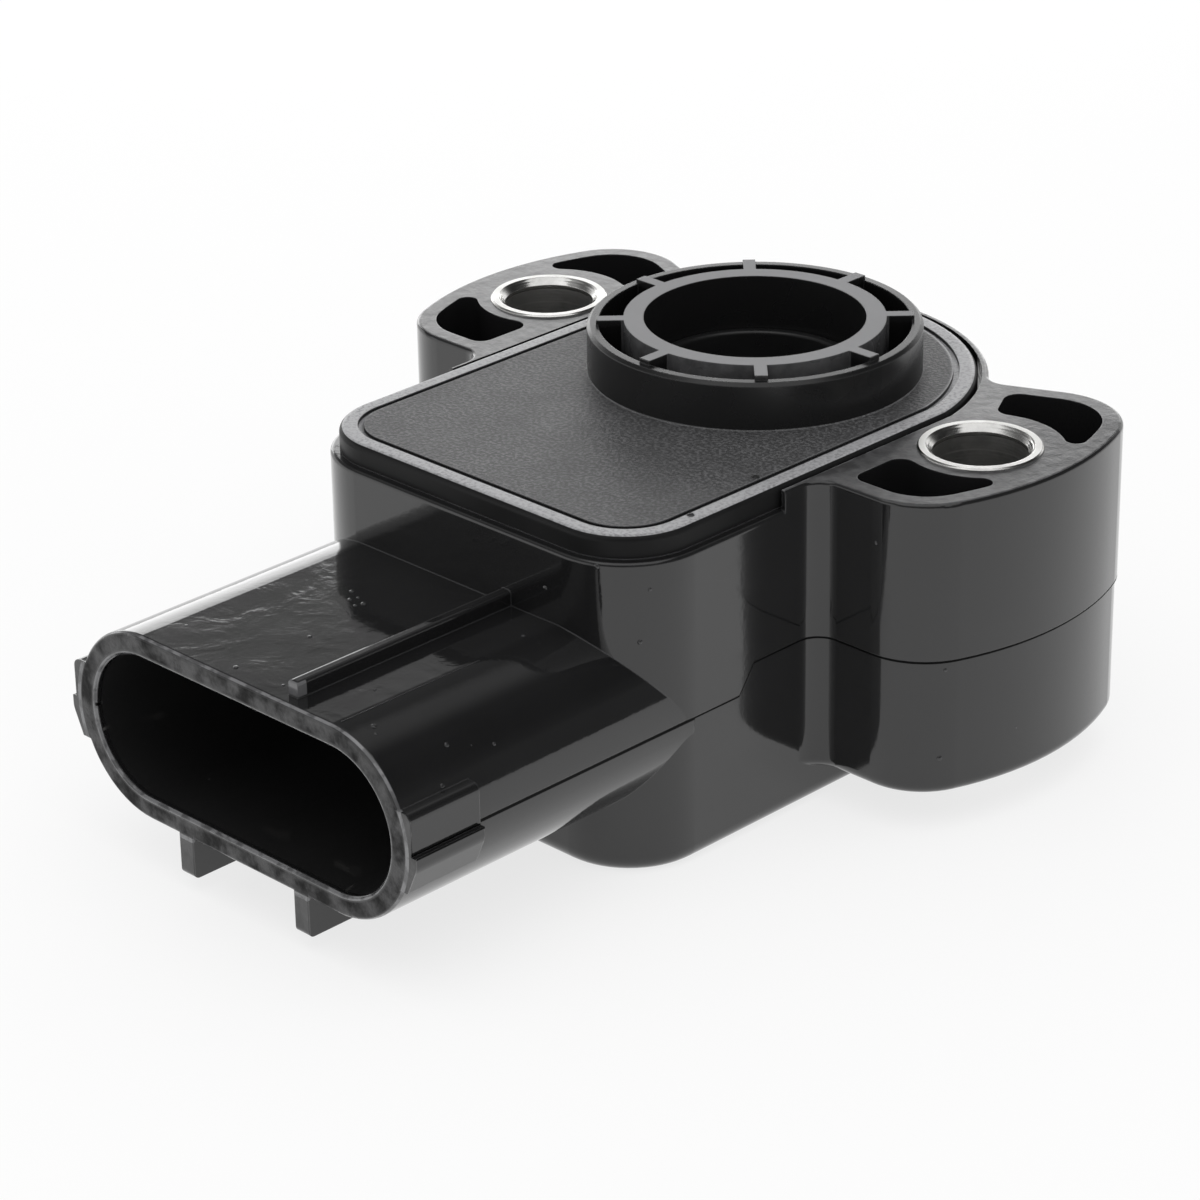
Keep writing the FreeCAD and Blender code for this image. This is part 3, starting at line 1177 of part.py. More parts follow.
# Printed layers: resistive track, its two silver legs, and the collector with its own leg
track = new_body("resistive_track")
track_radii = ("track_inner", "track_outer")
ink_ring(track, "TrackRing", track_radii, size("track_start"), "{track_start}", "track_angle")
for s, side_name in ((1, "right"), (-1, "left")):
    leg = new_body("trace_" + side_name)
    turn = size("leg_ring_angle")
    if s > 0:
        start, formula = size("track_start") - turn, "{track_start} - {leg_ring_angle}"
    else:
        start, formula = size("track_start") + size("track_angle"), "{track_start} + {track_angle}"
    ink_ring(leg, "LegRing" + side_name, track_radii, start, formula, "leg_ring_angle")
    ink_leg(leg, "Leg" + side_name, ("" if s > 0 else "-") + "{terminal_pitch}", "{leg_ring_low}")
collector = new_body("collector_track")
ink_ring(collector, "CollectorRing", ("collector_inner", "collector_outer"), -90 - size("collector_lap"),
         "-90 - {collector_lap}", "collector_angle")
ink_leg(collector, "Collector", "0", "{collector_radius}")



def tip_corner(edge):
    box = edge.BoundBox
    return abs(box.YMax + size("terminal_front")) < 1e-4 and box.ZLength > 0.5 * size("terminal_thick")


def tip_face(edge):
    box = edge.BoundBox
    return abs(box.YMin + size("terminal_front")) < 1e-4 and box.ZLength < 1e-4 and box.YLength < 1e-4


def lump_rim(edge):
    return flat_at(edge, size("terminal_thick") + size("solder_rise") - size("terminal_low"))


# Terminals: a blade in the socket, carried through the wall on to its land, and soldered there
for i, side_name in ((-1, "left"), (0, "centre"), (1, "right")):
    x = "%d * {terminal_pitch}" % i
    edge_x = x + " - {terminal_wide} / 2"
    reach = "{terminal_front} - {terminal_inner}"
    terminal = new_body("terminal_" + side_name)
    blade = block(terminal, "Blade" + side_name, False, edge_x, "-{terminal_front}", "-{terminal_low}",
                  "{terminal_wide}", reach, "{terminal_thick}")
    corner = dress(terminal, "Chamfer", "TipCorners" + side_name, blade, tip_corner,
                   "{terminal_tip_chamfer}")
    dress(terminal, "Chamfer", "TipFaces" + side_name, corner, tip_face, "{terminal_thick} / 4")
    solder = new_body("solder_" + side_name)
    lump = block(solder, "Lump" + side_name, False, edge_x + " - {solder_wide}",
                 "-{terminal_inner} - {solder_long}", "-{terminal_low}",
                 "{terminal_wide} + 2 * {solder_wide}", "{solder_long} + {solder_wide}",
                 "{terminal_thick} + {solder_rise}")
    dress(solder, "Fillet", "LumpRound" + side_name, lump, lump_rim, "{solder_wide} * 0.7")
    block(solder, "LumpSlot" + side_name, True, edge_x, "-{terminal_front}", "-{terminal_low}",
          "{terminal_wide}", reach, "{terminal_thick}")

# Every feature and every solid has to be sound before anything is written
doc.recompute()
faults = [o.Name for o in doc.Objects if "Invalid" in o.State or "Error" in o.State]
nodes = doc.findObjects("PartDesign::Body")
for node in nodes:
    if node.Shape.isNull() or not node.Shape.isValid() or len(node.Shape.Solids) != 1:
        faults.append(node.Label)
if faults:
    raise RuntimeError("not sound: " + ", ".join(faults))

os.makedirs("parts", exist_ok=True)
for node in nodes:
    node.Shape.exportStep("parts/%s.step" % node.Label)
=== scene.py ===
"""Throttle position sensor: the finishes of its pieces, its small moulding marks and the stage.

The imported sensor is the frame. Everything here is in metres, in that frame: the mounting face looks up
(+Z), the plug shroud points to -Y, the rotor's axis is the Z axis, and the two bolt bushings stand at -X
and +X.
"""

import math

import bpy
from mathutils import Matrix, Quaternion, Vector
from mathutils.bvhtree import BVHTree


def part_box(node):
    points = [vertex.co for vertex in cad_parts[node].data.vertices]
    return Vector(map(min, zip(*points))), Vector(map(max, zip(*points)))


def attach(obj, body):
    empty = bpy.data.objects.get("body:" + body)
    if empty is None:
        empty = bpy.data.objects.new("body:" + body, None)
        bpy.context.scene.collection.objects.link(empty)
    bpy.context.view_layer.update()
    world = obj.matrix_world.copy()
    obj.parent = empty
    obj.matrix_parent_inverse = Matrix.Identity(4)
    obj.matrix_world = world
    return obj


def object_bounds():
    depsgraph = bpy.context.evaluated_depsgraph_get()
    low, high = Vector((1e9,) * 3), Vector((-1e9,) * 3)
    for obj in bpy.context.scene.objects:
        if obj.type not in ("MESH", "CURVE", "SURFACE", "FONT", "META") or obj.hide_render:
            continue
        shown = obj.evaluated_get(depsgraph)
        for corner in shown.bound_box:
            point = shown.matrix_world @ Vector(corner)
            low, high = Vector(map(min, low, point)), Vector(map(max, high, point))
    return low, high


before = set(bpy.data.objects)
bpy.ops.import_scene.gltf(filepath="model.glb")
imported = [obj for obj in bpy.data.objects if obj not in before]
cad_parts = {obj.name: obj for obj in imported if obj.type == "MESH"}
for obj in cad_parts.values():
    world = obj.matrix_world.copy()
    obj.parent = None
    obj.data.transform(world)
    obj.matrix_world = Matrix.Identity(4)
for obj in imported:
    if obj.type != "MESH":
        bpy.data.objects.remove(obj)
CAD_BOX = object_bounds()

bl_info = {
    "name": "Throttle position sensor",
    "version": (1, 0, 0),
    "blender": (4, 5, 0),
    "location": "View3D > Sidebar > Sensor",
    "description": "Finishes the throttle position sensor, adds its moulding marks and sets the stage",
    "category": "Object",
}

MM = 0.001

# The frame's nodes by finish.
BUSHINGS = ("bushing_right", "bushing_left")
TERMINALS = ("terminal_left", "terminal_centre", "terminal_right")
SOLDER_JOINTS = ("solder_left", "solder_centre", "solder_right")
SILVER_TRACES = ("trace_right", "trace_left", "collector_track")

# Places on the sensor where a finish changes, in metres.

# The cover's panel inside its sealing groove.
PANEL_HALF = 0.01445
PANEL_FRONT = 0.02832
PANEL_CORNER = 0.00395
PANEL_FADE = 0.0003

# The cover's collar: the hub's bore and wall, the collar's two faces, its root and its top.
HUB_BORE = 0.00832
HUB_WALL = (0.00960, 0.00990)
HUB_WALL_ROOT = 0.0006
COLLAR_INNER = 0.01160
COLLAR_INNER_END = 0.01164
COLLAR_OUTER = 0.01250
COLLAR_ROOT = 0.00004
COLLAR_TOP = 0.0036
COLLAR_FADE = 0.00006

# The plug socket's inner wall and floor, and the shroud's outer wall, top and mouth.
SOCKET_LEVEL = -0.0144
SOCKET_FLAT = 0.00975
SOCKET_HALF_TALL = 0.00545
SOCKET_FLOOR_Y = -0.0330
SHROUD_HALF_TALL = 0.00715
SHROUD_TOP = -0.0072
MOUTH_Y = -0.0517

# The front end of the rib on the shroud, and the tops of the ears.
RIB_SIDES = (0.0044, 0.0056)
RIB_END = (-0.0512, -0.0498)
RIB_FADE = 0.0001
EAR_TOP = -0.0006

# The housing's parting line: where it changes its level, from front to rear, and its half width.
PARTING_Y = (-0.0199, -0.0184)
PARTING_Z = (-0.0144, -0.0123)
PARTING_HALF = 0.00009
PARTING_FADE = 0.00006

# A bushing's bore, its chamfer's foot, the bright ring in the bore and the flat crest.
BUSHING_BORE = 0.00342
BUSHING_BORE_FADE = 0.00006
CHAMFER_FOOT = -0.0007
BRIGHT_RING = (-0.00192, -0.00178)
CREST = -0.0003


# ---- Sizes and colours that a user would change ----


class SensorMoulding(bpy.types.PropertyGroup):
    """The black mouldings: housing, cover and rotor."""

    housing_colour: bpy.props.FloatVectorProperty(
        name="Housing colour",
        description="Colour of the glossy black housing",
        subtype="COLOR",
        size=3,
        min=0.0,
        max=1.0,
        default=(0.0098, 0.0098, 0.0101),
    )
    housing_gloss: bpy.props.FloatProperty(
        name="Housing roughness",
        description="Roughness of the housing where it is cleanest",
        subtype="FACTOR",
        min=0.0,
        max=1.0,
        default=0.05,
    )
    cover_colour: bpy.props.FloatVectorProperty(
        name="Cover colour",
        description="Colour of the grained black cover",
        subtype="COLOR",
        size=3,
        min=0.0,
        max=1.0,
        default=(0.018, 0.018, 0.0185),
    )
    cover_grain: bpy.props.FloatProperty(
        name="Cover grain",
        description="Spacing of the fine grain on the cover's panel",
        subtype="DISTANCE",
        unit="LENGTH",
        min=0.00005,
        max=0.002,
        default=0.00028,
    )
    rotor_colour: bpy.props.FloatVectorProperty(
        name="Rotor colour",
        description="Colour of the satin black rotor",
        subtype="COLOR",
        size=3,
        min=0.0,
        max=1.0,
        default=(0.010, 0.010, 0.0103),
    )
    edge_radius: bpy.props.FloatProperty(
        name="Edge softness",
        description="Radius over which a moulded edge catches the light",
        subtype="DISTANCE",
        unit="LENGTH",
        min=0.0,
        max=0.001,
        default=0.00012,
    )


class SensorMetal(bpy.types.PropertyGroup):
    """The metal pieces: bushings, springs, wiper, terminals and solder."""

    steel_colour: bpy.props.FloatVectorProperty(
        name="Bushing steel",
        description="Colour of the turned steel bushings",
        subtype="COLOR",
        size=3,
        min=0.0,
        max=1.0,
        default=(0.66, 0.655, 0.64),
    )
    turning_pitch: bpy.props.FloatProperty(
        name="Turning pitch",
        description="Spacing of the turning marks on the bushings",
        subtype="DISTANCE",
        unit="LENGTH",
        min=0.00002,
        max=0.001,
        default=0.00016,
    )
    tin_colour: bpy.props.FloatVectorProperty(
        name="Terminal tin",
        description="Colour of the tinned terminals",
        subtype="COLOR",
        size=3,
        min=0.0,
        max=1.0,
        default=(0.62, 0.61, 0.585),
    )


class SensorMarks(bpy.types.PropertyGroup):
    """The small marks that the mould leaves on the housing."""

    pip_radius: bpy.props.FloatProperty(
        name="Pip radius",
        description="Radius of the small pips on the housing",
        subtype="DISTANCE",
        unit="LENGTH",
        min=0.00002,
        max=0.001,
        default=0.00017,
    )
    gate_radius: bpy.props.FloatProperty(
        name="Gate mark radius",
        description="Radius of the flat gate marks on the cover",
        subtype="DISTANCE",
        unit="LENGTH",
        min=0.00002,
        max=0.001,
        default=0.00028,
    )
    pip_height: bpy.props.FloatProperty(
        name="Pip height",
        description="Height of a pip as a share of its radius",
        subtype="FACTOR",
        min=0.05,
        max=1.0,
        default=0.55,
    )
    line_width: bpy.props.FloatProperty(
        name="Witness line width",
        description="Width of the raised lines where two mould parts meet",
        subtype="DISTANCE",
        unit="LENGTH",
        min=0.00002,
        max=0.001,
        default=0.00009,
    )
    seed: bpy.props.IntProperty(
        name="Seed",
        description="Seed of the pips' small differences in size",
        min=0,
        default=7,
    )


class SensorStage(bpy.types.PropertyGroup):
    """The floor, the lamps and the camera."""

    floor_colour: bpy.props.FloatVectorProperty(
        name="Floor colour",
        description="Colour of the plain pale floor",
        subtype="COLOR",
        size=3,
        min=0.0,
        max=1.0,
        default=(0.93, 0.93, 0.93),
    )
    top_power: bpy.props.FloatProperty(
        name="Overhead lamp",
        description="Power of the softbox above the sensor",
        subtype="POWER",
        unit="POWER",
        min=0.0,
        default=0.55,
    )
    back_power: bpy.props.FloatProperty(
        name="Back lamp",
        description="Power of the softbox behind the sensor, on the left",
        subtype="POWER",
        unit="POWER",
        min=0.0,
        default=0.30,
    )
    lens: bpy.props.FloatProperty(
        name="Lens",
        description="Focal length of the camera",
        subtype="DISTANCE_CAMERA",
        min=1.0,
        default=125.449,
    )


# ---- Node trees ----


def put_node(tree, kind, inputs=None, **settings):
    """One node, with its settings, and its inputs set to numbers or linked to sockets."""
    node = tree.nodes.new(kind)
    for name, value in settings.items():
        setattr(node, name, value)
    for name, value in (inputs or {}).items():
        socket = node.inputs[name]
        if isinstance(value, bpy.types.NodeSocket):
            tree.links.new(value, socket)
        else:
            socket.default_value = value
    return node


def put_sum(tree, operation, a, b):
    """The result of a sum on two numbers."""
    return put_node(tree, "ShaderNodeMath", {0: a, 1: b}, operation=operation).outputs[0]


def put_range(tree, value, low, high, at_low, at_high, way="SMOOTHSTEP"):
    """A number that goes from one level to another between two limits."""
    inputs = {"Value": value, "From Min": low, "From Max": high, "To Min": at_low, "To Max": at_high}
    return put_node(tree, "ShaderNodeMapRange", inputs, interpolation_type=way).outputs["Result"]


def put_light_mix(tree, share, low, high):
    """The result of two shaders, by a share."""
    return put_node(tree, "ShaderNodeMixShader", {0: share, 1: low, 2: high}).outputs[0]


class Finish:
    """A material with one Principled shader, and short calls for the patterns that the finishes share."""

    def __init__(self, name, **constants):
        self.material = bpy.data.materials.new(name)
        self.material.use_nodes = True
        self.tree = self.material.node_tree
        self.tree.nodes.clear()
        self.shader = self.put("ShaderNodeBsdfPrincipled")
        output = self.put("ShaderNodeOutputMaterial")
        self.tree.links.new(self.shader.outputs["BSDF"], output.inputs["Surface"])
        for socket, value in constants.items():
            self.shader.inputs[socket.replace("_", " ")].default_value = value
        self.place = self.put("ShaderNodeTexCoord").outputs["Object"]
        self.axes = self.put("ShaderNodeSeparateXYZ", {"Vector": self.place})

    def put(self, kind, inputs=None, **settings):
        """One node in this finish's tree."""
        return put_node(self.tree, kind, inputs, **settings)

    def feed(self, socket, value):
        """Links a pattern to one of the shader's inputs."""
        self.tree.links.new(value, self.shader.inputs[socket])

    def sums(self, operation, a, b=0.0, c=0.0):
        """A sum on one or more numbers."""
        return self.put("ShaderNodeMath", {0: a, 1: b, 2: c}, operation=operation).outputs["Value"]

    def step(self, value, low, high, at_low=0.0, at_high=1.0):
        """A number that eases from one level to another between two limits."""
        return put_range(self.tree, value, low, high, at_low, at_high)

    def fade(self, value, low, high):
        """1 below one limit and 0 above the other, with a soft change between them."""
        return self.step(value, low, high, 1.0, 0.0)

    def noise(self, spacing, detail=3.0, roughness=0.5, stretch=None, distortion=0.0):
        """Noise whose blobs are about the spacing across."""
        where = self.place
        if stretch:
            where = self.put("ShaderNodeMapping", {"Vector": where, "Scale": stretch}).outputs["Vector"]
        inputs = {"Vector": where, "Scale": 1 / spacing, "Detail": detail}
        inputs.update({"Roughness": roughness, "Distortion": distortion})
        return self.put("ShaderNodeTexNoise", inputs).outputs["Fac"]

    def specks(self, spacing, radius):
        """Sparse round specks, 1 in a speck and 0 beside it."""
        node = self.put("ShaderNodeTexVoronoi", {"Vector": self.place, "Scale": 1 / spacing})
        return self.fade(node.outputs["Distance"], radius / spacing * 0.6, radius / spacing)

    def times(self, *values):
        """The product of several numbers. A product of shares is 1 only where all of them are."""
        total = values[0]
        for value in values[1:]:
            total = self.sums("MULTIPLY", total, value)
        return total

    def plus(self, rest, share, more):
        """A number with a share of some more added to it."""
        return self.sums("MULTIPLY_ADD", share, more, rest)

    def most(self, *values):
        """The largest of several numbers."""
        total = values[0]
        for value in values[1:]:
            total = self.sums("MAXIMUM", total, value)
        return total

    def blend(self, share, low, high):
        """A colour between two, by a share."""
        return self.put("ShaderNodeMix", {0: share, 6: low, 7: high}, data_type="RGBA").outputs[2]

    def length(self, across, along):
        """The length of a step that goes so far across and so far along."""
        squares = self.sums("MULTIPLY_ADD", along, along, self.sums("MULTIPLY", across, across))
        return self.sums("SQRT", squares)

    def radius(self, x=0.0, y=0.0):
        """The distance from an upright axis."""
        across = self.sums("SUBTRACT", self.axes.outputs["X"], x)
        return self.length(across, self.sums("SUBTRACT", self.axes.outputs["Y"], y))

    def inside(self, value, low, high, soft):
        """1 between two limits and 0 outside them, with a soft change of a given width."""
        above = self.step(value, low - soft / 2, low + soft / 2)
        return self.times(above, self.fade(value, high - soft / 2, high + soft / 2))

    def up(self):
        """1 on faces that look up and 0 on upright ones."""
        way = self.put("ShaderNodeNewGeometry").outputs["Normal"]
        return self.step(self.put("ShaderNodeSeparateXYZ", {"Vector": way}).outputs["Z"], 0.8, 0.97)

    def relief(self, *layers, edge=0.0):
        """Bumps over one another, each a height and its depth in metres, and edges softened over a radius."""
        normal = None
        if edge:
            normal = self.put("ShaderNodeBevel", {"Radius": edge}, samples=4).outputs["Normal"]
        for height, depth in layers:
            inputs = {"Height": height, "Distance": depth, "Strength": 1.0}
            if normal is not None:
                inputs["Normal"] = normal
            normal = self.put("ShaderNodeBump", inputs).outputs["Normal"]
        self.feed("Normal", normal)

    def edge_share(self, radius):
        """How near a point is to a sharp edge, 0 on a flat face and 1 on the edge."""
        soft = self.put("ShaderNodeBevel", {"Radius": radius}, samples=2).outputs["Normal"]
        flat = self.put("ShaderNodeNewGeometry").outputs["Normal"]
        meet = self.put("ShaderNodeVectorMath", {0: soft, 1: flat}, operation="DOT_PRODUCT").outputs["Value"]
        return self.fade(meet, 0.86, 0.998)


def shade(colour, factor):
    """A colour made lighter or darker, with its alpha."""
    return tuple(min(1.0, channel * factor) for channel in colour[:3]) + (1.0,)


def wear(node, finish):
    """Puts a finish on a node of the frame."""
    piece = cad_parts[node]
    if not piece.material_slots:
        piece.data.materials.append(finish.material)
    for slot in piece.material_slots:
        slot.material = finish.material


# ---- Finishes ----


def parting_line(look):
    """The fine line round the housing where the two halves of its mould meet: low in front, higher behind."""
    level = put_range(look.tree, look.axes.outputs["Y"], *PARTING_Y, *PARTING_Z, way="LINEAR")
    off = look.sums("SUBTRACT", look.axes.outputs["Z"], level)
    return look.fade(look.sums("ABSOLUTE", off), PARTING_HALF, PARTING_HALF + PARTING_FADE)


def shroud_radius(look):
    """The distance from the flat middle of the plug shroud's rounded cross section."""
    across = look.sums("SUBTRACT", look.sums("ABSOLUTE", look.axes.outputs["X"]), SOCKET_FLAT)
    height = look.sums("SUBTRACT", look.axes.outputs["Z"], SOCKET_LEVEL)
    return look.length(look.most(across, 0.0), height)


def housing_places(look):
    """The housing's own places, each a share that is 1 there and 0 elsewhere."""
    across, along, height = (look.axes.outputs[axis] for axis in "XYZ")
    up = look.up()
    upright = look.fade(up, 0.0, 0.2)
    out = shroud_radius(look)
    mouth = look.fade(along, MOUTH_Y + 0.00005, MOUTH_Y + 0.00015)
    flat = look.inside(out, SOCKET_HALF_TALL + 0.00035, SHROUD_HALF_TALL - 0.0002, 0.0002)
    inner_edge = look.inside(out, SOCKET_HALF_TALL + 0.00002, SOCKET_HALF_TALL + 0.00026, 0.00004)
    outer_edge = look.inside(out, SHROUD_HALF_TALL - 0.00014, SHROUD_HALF_TALL + 0.0002, 0.00004)
    socket = look.times(
        look.fade(out, SOCKET_HALF_TALL + 0.0001, SOCKET_HALF_TALL + 0.0003),
        look.step(along, MOUTH_Y + 0.0004, MOUTH_Y + 0.0007),
        look.fade(along, SOCKET_FLOOR_Y, SOCKET_FLOOR_Y + 0.0002),
    )
    outside = look.sums("SUBTRACT", 1.0, look.most(socket, mouth))
    return {
        "up": up,
        "ear_top": look.times(up, look.step(height, EAR_TOP, EAR_TOP + 0.0002)),
        "mouth": mouth,
        "rim": look.times(mouth, flat),
        # painted highlight along the inner and outer edges of the mouth's rim
        "rim_edge_highlights": look.times(
            look.most(inner_edge, outer_edge),
            look.fade(along, MOUTH_Y + 0.0002, MOUTH_Y + 0.0003),
        ),
        "socket": socket,
        # painted highlight on the rib's upright front end face
        "rib_end": look.times(
            look.inside(across, *RIB_SIDES, RIB_FADE),
            look.inside(along, *RIB_END, RIB_FADE),
            look.step(height, SHROUD_TOP, SHROUD_TOP + 0.0001),
            upright,
        ),
        "line": look.times(parting_line(look), upright, outside),
    }


def glossy_moulding(moulding):
    """The housing's glossy black: deep, faintly wavy, with satin ear tops, scuffs and a little dust, and with
    painted light: a painted sheen on the ear tops and painted highlights along edges, on the rib's front end
    and round the mouth's rim.
    """
    look = Finish("glossy_black_moulding", IOR=1.53, Coat_Roughness=0.04, Coat_IOR=1.45)
    at = housing_places(look)
    clouds = look.noise(0.009, detail=4.0)
    mottle = look.noise(0.0009, detail=5.0, roughness=0.6)
    blotches = look.step(mottle, 0.40, 0.62)
    burnt = look.step(look.noise(0.0019, detail=5.0, roughness=0.55), 0.36, 0.66)
    breaks = look.step(look.noise(0.0011, detail=3.0), 0.42, 0.56)
    dust = look.specks(0.0042, 0.00011)
    edge = look.edge_share(moulding.edge_radius * 1.5)

    def tone(factor):
        return shade(moulding.housing_colour, factor)

    base = look.blend(clouds, tone(0.8), tone(1.45))
    # painted sheen: the up-facing ear tops get a much paler base colour that stands in for light on them;
    # their rougher satin surface is real
    base = look.blend(at["ear_top"], base, look.blend(blotches, tone(3.2), tone(6.2)))
    base = look.blend(at["mouth"], base, look.blend(burnt, tone(0.4), tone(3.0)))
    base = look.blend(at["socket"], base, tone(0.9))
    # painted highlight: the rib's front end face is made much lighter than the housing
    base = look.blend(at["rib_end"], base, tone(12.0))
    # painted highlight: the base colour is made lighter along sharp edges, where a rounded edge would catch
    # the light
    base = look.blend(look.times(edge, 0.7), base, tone(7.5))
    # painted highlight: much lighter still along the ear tops' edges, broken up by noise
    base = look.blend(look.times(edge, at["ear_top"], breaks), base, tone(26.0))
    # painted highlight: light lines along the mouth rim's inner and outer edges, broken up by noise
    base = look.blend(look.times(at["rim_edge_highlights"], look.plus(0.3, breaks, 0.45)), base, tone(24.0))
    base = look.blend(look.times(dust, 0.5), base, tone(9.0))
    look.feed("Base Color", look.blend(at["line"], base, tone(0.1)))

    # the parting line and the mouth's matt rim throw back little light
    dull = look.most(at["line"], look.times(at["rim"], look.plus(0.95, burnt, -0.6)))
    look.feed("Specular IOR Level", look.plus(0.5, dull, -0.42))
    look.feed("Coat Weight", look.plus(0.4, dull, -0.4))

    gloss = moulding.housing_gloss
    scuffs = look.noise(0.0016, detail=5.0, stretch=(1.0, 0.28, 1.0), distortion=0.6)
    rough = look.step(clouds, 0.3, 0.75, gloss, gloss + 0.05)
    rough = look.plus(rough, look.step(scuffs, 0.5, 0.78), 0.05)
    rough = look.plus(rough, edge, 0.08)
    for place, more in (("ear_top", 0.30), ("mouth", 0.10), ("socket", 0.42), ("line", 0.5)):
        rough = look.plus(rough, at[place], more)
    look.feed("Roughness", look.plus(rough, dust, 0.3))

    look.relief(
        (look.noise(0.011, detail=1.0), 0.00009),
        (look.times(look.noise(0.0032, detail=3.0, distortion=0.8), at["up"]), 0.000035),
        (look.noise(0.0004, detail=2.0), 0.0000035),
        (look.times(mottle, look.most(at["ear_top"], at["mouth"])), 0.00007),
        (look.times(at["line"], -1.0), 0.00007),
        (dust, 0.00001),
        edge=moulding.edge_radius,
    )
    return look


def panel_share(look):
    """1 on the cover's panel inside the sealing groove and 0 on the band outside it."""
    across = look.sums("ABSOLUTE", look.axes.outputs["X"])
    along = look.axes.outputs["Y"]
    side = look.most(look.sums("SUBTRACT", across, PANEL_HALF - PANEL_CORNER), 0.0)
    ahead = look.sums("SUBTRACT", look.times(along, -1.0), PANEL_FRONT - PANEL_CORNER)
    corner = look.length(side, look.most(ahead, 0.0))
    rear = look.length(across, look.most(along, 0.0))
    return look.times(
        look.fade(corner, PANEL_CORNER, PANEL_CORNER + PANEL_FADE),
        look.fade(rear, PANEL_HALF, PANEL_HALF + PANEL_FADE),
    )


def cover_places(look):
    """The cover's own places, each a share that is 1 there and 0 elsewhere."""
    height = look.axes.outputs["Z"]
    radius = look.radius()
    up = look.up()
    raised = look.step(height, COLLAR_ROOT, COLLAR_ROOT + 0.00008)
    bore = look.fade(radius, HUB_BORE, HUB_BORE + 0.0001)
    hub = look.fade(radius, COLLAR_INNER, COLLAR_INNER + COLLAR_FADE)
    below = look.step(height, COLLAR_TOP, COLLAR_TOP - 0.0002)
    return {
        "panel": panel_share(look),
        "side": look.times(look.fade(up, 0.1, 0.5), look.step(radius, COLLAR_OUTER, COLLAR_OUTER + 0.00012)),
        "collar": look.most(raised, bore),
        # painted shade in the recessed pockets between the hub and the collar
        "pocket": look.times(look.inside(radius, HUB_WALL[1], COLLAR_INNER_END, COLLAR_FADE), below),
        # painted highlight on the hub's outer wall, rising towards its top
        "hub_wall_highlight": look.times(
            look.inside(radius, *HUB_WALL, COLLAR_FADE),
            look.step(height, HUB_WALL_ROOT, HUB_WALL_ROOT + 0.0024),
        ),
        # painted sheen on the up-facing tops of the hub ring and spokes
        "hub_top": look.times(up, hub, look.step(height, COLLAR_TOP, COLLAR_TOP + 0.0002)),
    }


def grained_moulding(moulding):
    """The cover: a grained panel, a dark collar and a spoked hub, with painted light: a painted sheen on the
    band outside its groove and on the tops of the hub and spokes, painted shade on the band's side wall and
    in the collar's pockets, and painted highlights along its edges and on the hub's outer wall.
    """
    look = Finish("grained_black_moulding", IOR=1.52)
    at = cover_places(look)
    panel, side, collar = at["panel"], at["side"], at["collar"]
    spacing = moulding.cover_grain
    grain = look.noise(spacing, detail=2.0, roughness=0.6)
    mottle = look.noise(spacing * 4.5, detail=3.0, roughness=0.6)
    patches = look.step(look.noise(0.0045, detail=3.0, roughness=0.6), 0.35, 0.68, 0.6, 1.0)
    clouds = look.noise(0.006, detail=4.0)
    edge = look.edge_share(moulding.edge_radius * 1.5)

    def tone(factor):
        return shade(moulding.cover_colour, factor)

    # painted sheen: outside the groove the band's base colour is made far paler than the panel's, standing in
    # for light on its top
    base = look.blend(panel, tone(19.0), tone(2.4))
    base = look.blend(look.times(panel, clouds, 0.4), base, tone(3.4))
    base = look.blend(look.times(patches, look.step(grain, 0.43, 0.64, 0.0, 0.75)), base, tone(8.0))
    base = look.blend(look.times(panel, look.step(mottle, 0.5, 0.7, 0.0, 0.22)), base, tone(7.0))
    # painted shade: the cover's upright side wall is made darker than the cover's own colour
    base = look.blend(side, base, look.blend(clouds, tone(0.2), tone(0.9)))
    base = look.blend(collar, base, tone(0.5))
    # painted shade: the pockets are made darker than the cover's own colour
    base = look.blend(at["pocket"], base, tone(0.3))
    # painted highlight: the hub's outer wall is made much lighter, with mottled strength
    base = look.blend(at["hub_wall_highlight"], base, look.blend(mottle, tone(1.0), tone(8.0)))
    # painted sheen: the hub's and spokes' tops get a pale base colour; their extra roughness below is real
    base = look.blend(at["hub_top"], base, look.blend(clouds, tone(9.0), tone(14.0)))
    # painted highlight: the base colour is made lighter along sharp edges, strongly on the band and panel and
    # faintly on the collar
    edges = look.blend(collar, tone(20.0), tone(4.0))
    look.feed("Base Color", look.blend(look.times(edge, 0.5), base, edges))
    look.feed("Specular IOR Level", look.plus(0.5, side, -0.38))

    rough = look.plus(0.36, panel, 0.12)
    rough = look.plus(rough, look.step(clouds, 0.3, 0.7), 0.05)
    rough = look.plus(rough, collar, -0.24)
    look.feed("Roughness", look.plus(rough, at["hub_top"], 0.28))

    grained = look.sums("SUBTRACT", 1.0, look.most(collar, side))
    look.relief(
        (look.noise(0.012, detail=1.0), 0.00006),
        (look.times(grain, look.plus(0.2, panel, 0.8), grained), 0.00007),
        edge=moulding.edge_radius,
    )
    return look


def satin_moulding(moulding):
    """The rotor: satin black, with faint flow lines round its axis."""
    look = Finish("satin_black_moulding", IOR=1.5)
    colour = moulding.rotor_colour
    clouds = look.noise(0.004, detail=4.0)
    flow = look.sums("SINE", look.times(look.radius(), math.tau / 0.0005))
    look.feed("Base Color", look.blend(clouds, shade(colour, 0.8), shade(colour, 1.6)))
    look.feed("Roughness", look.step(clouds, 0.3, 0.7, 0.26, 0.38))
    look.relief((look.noise(0.0003, detail=2.0), 0.000008), (flow, 0.0000015), edge=moulding.edge_radius)
    return look


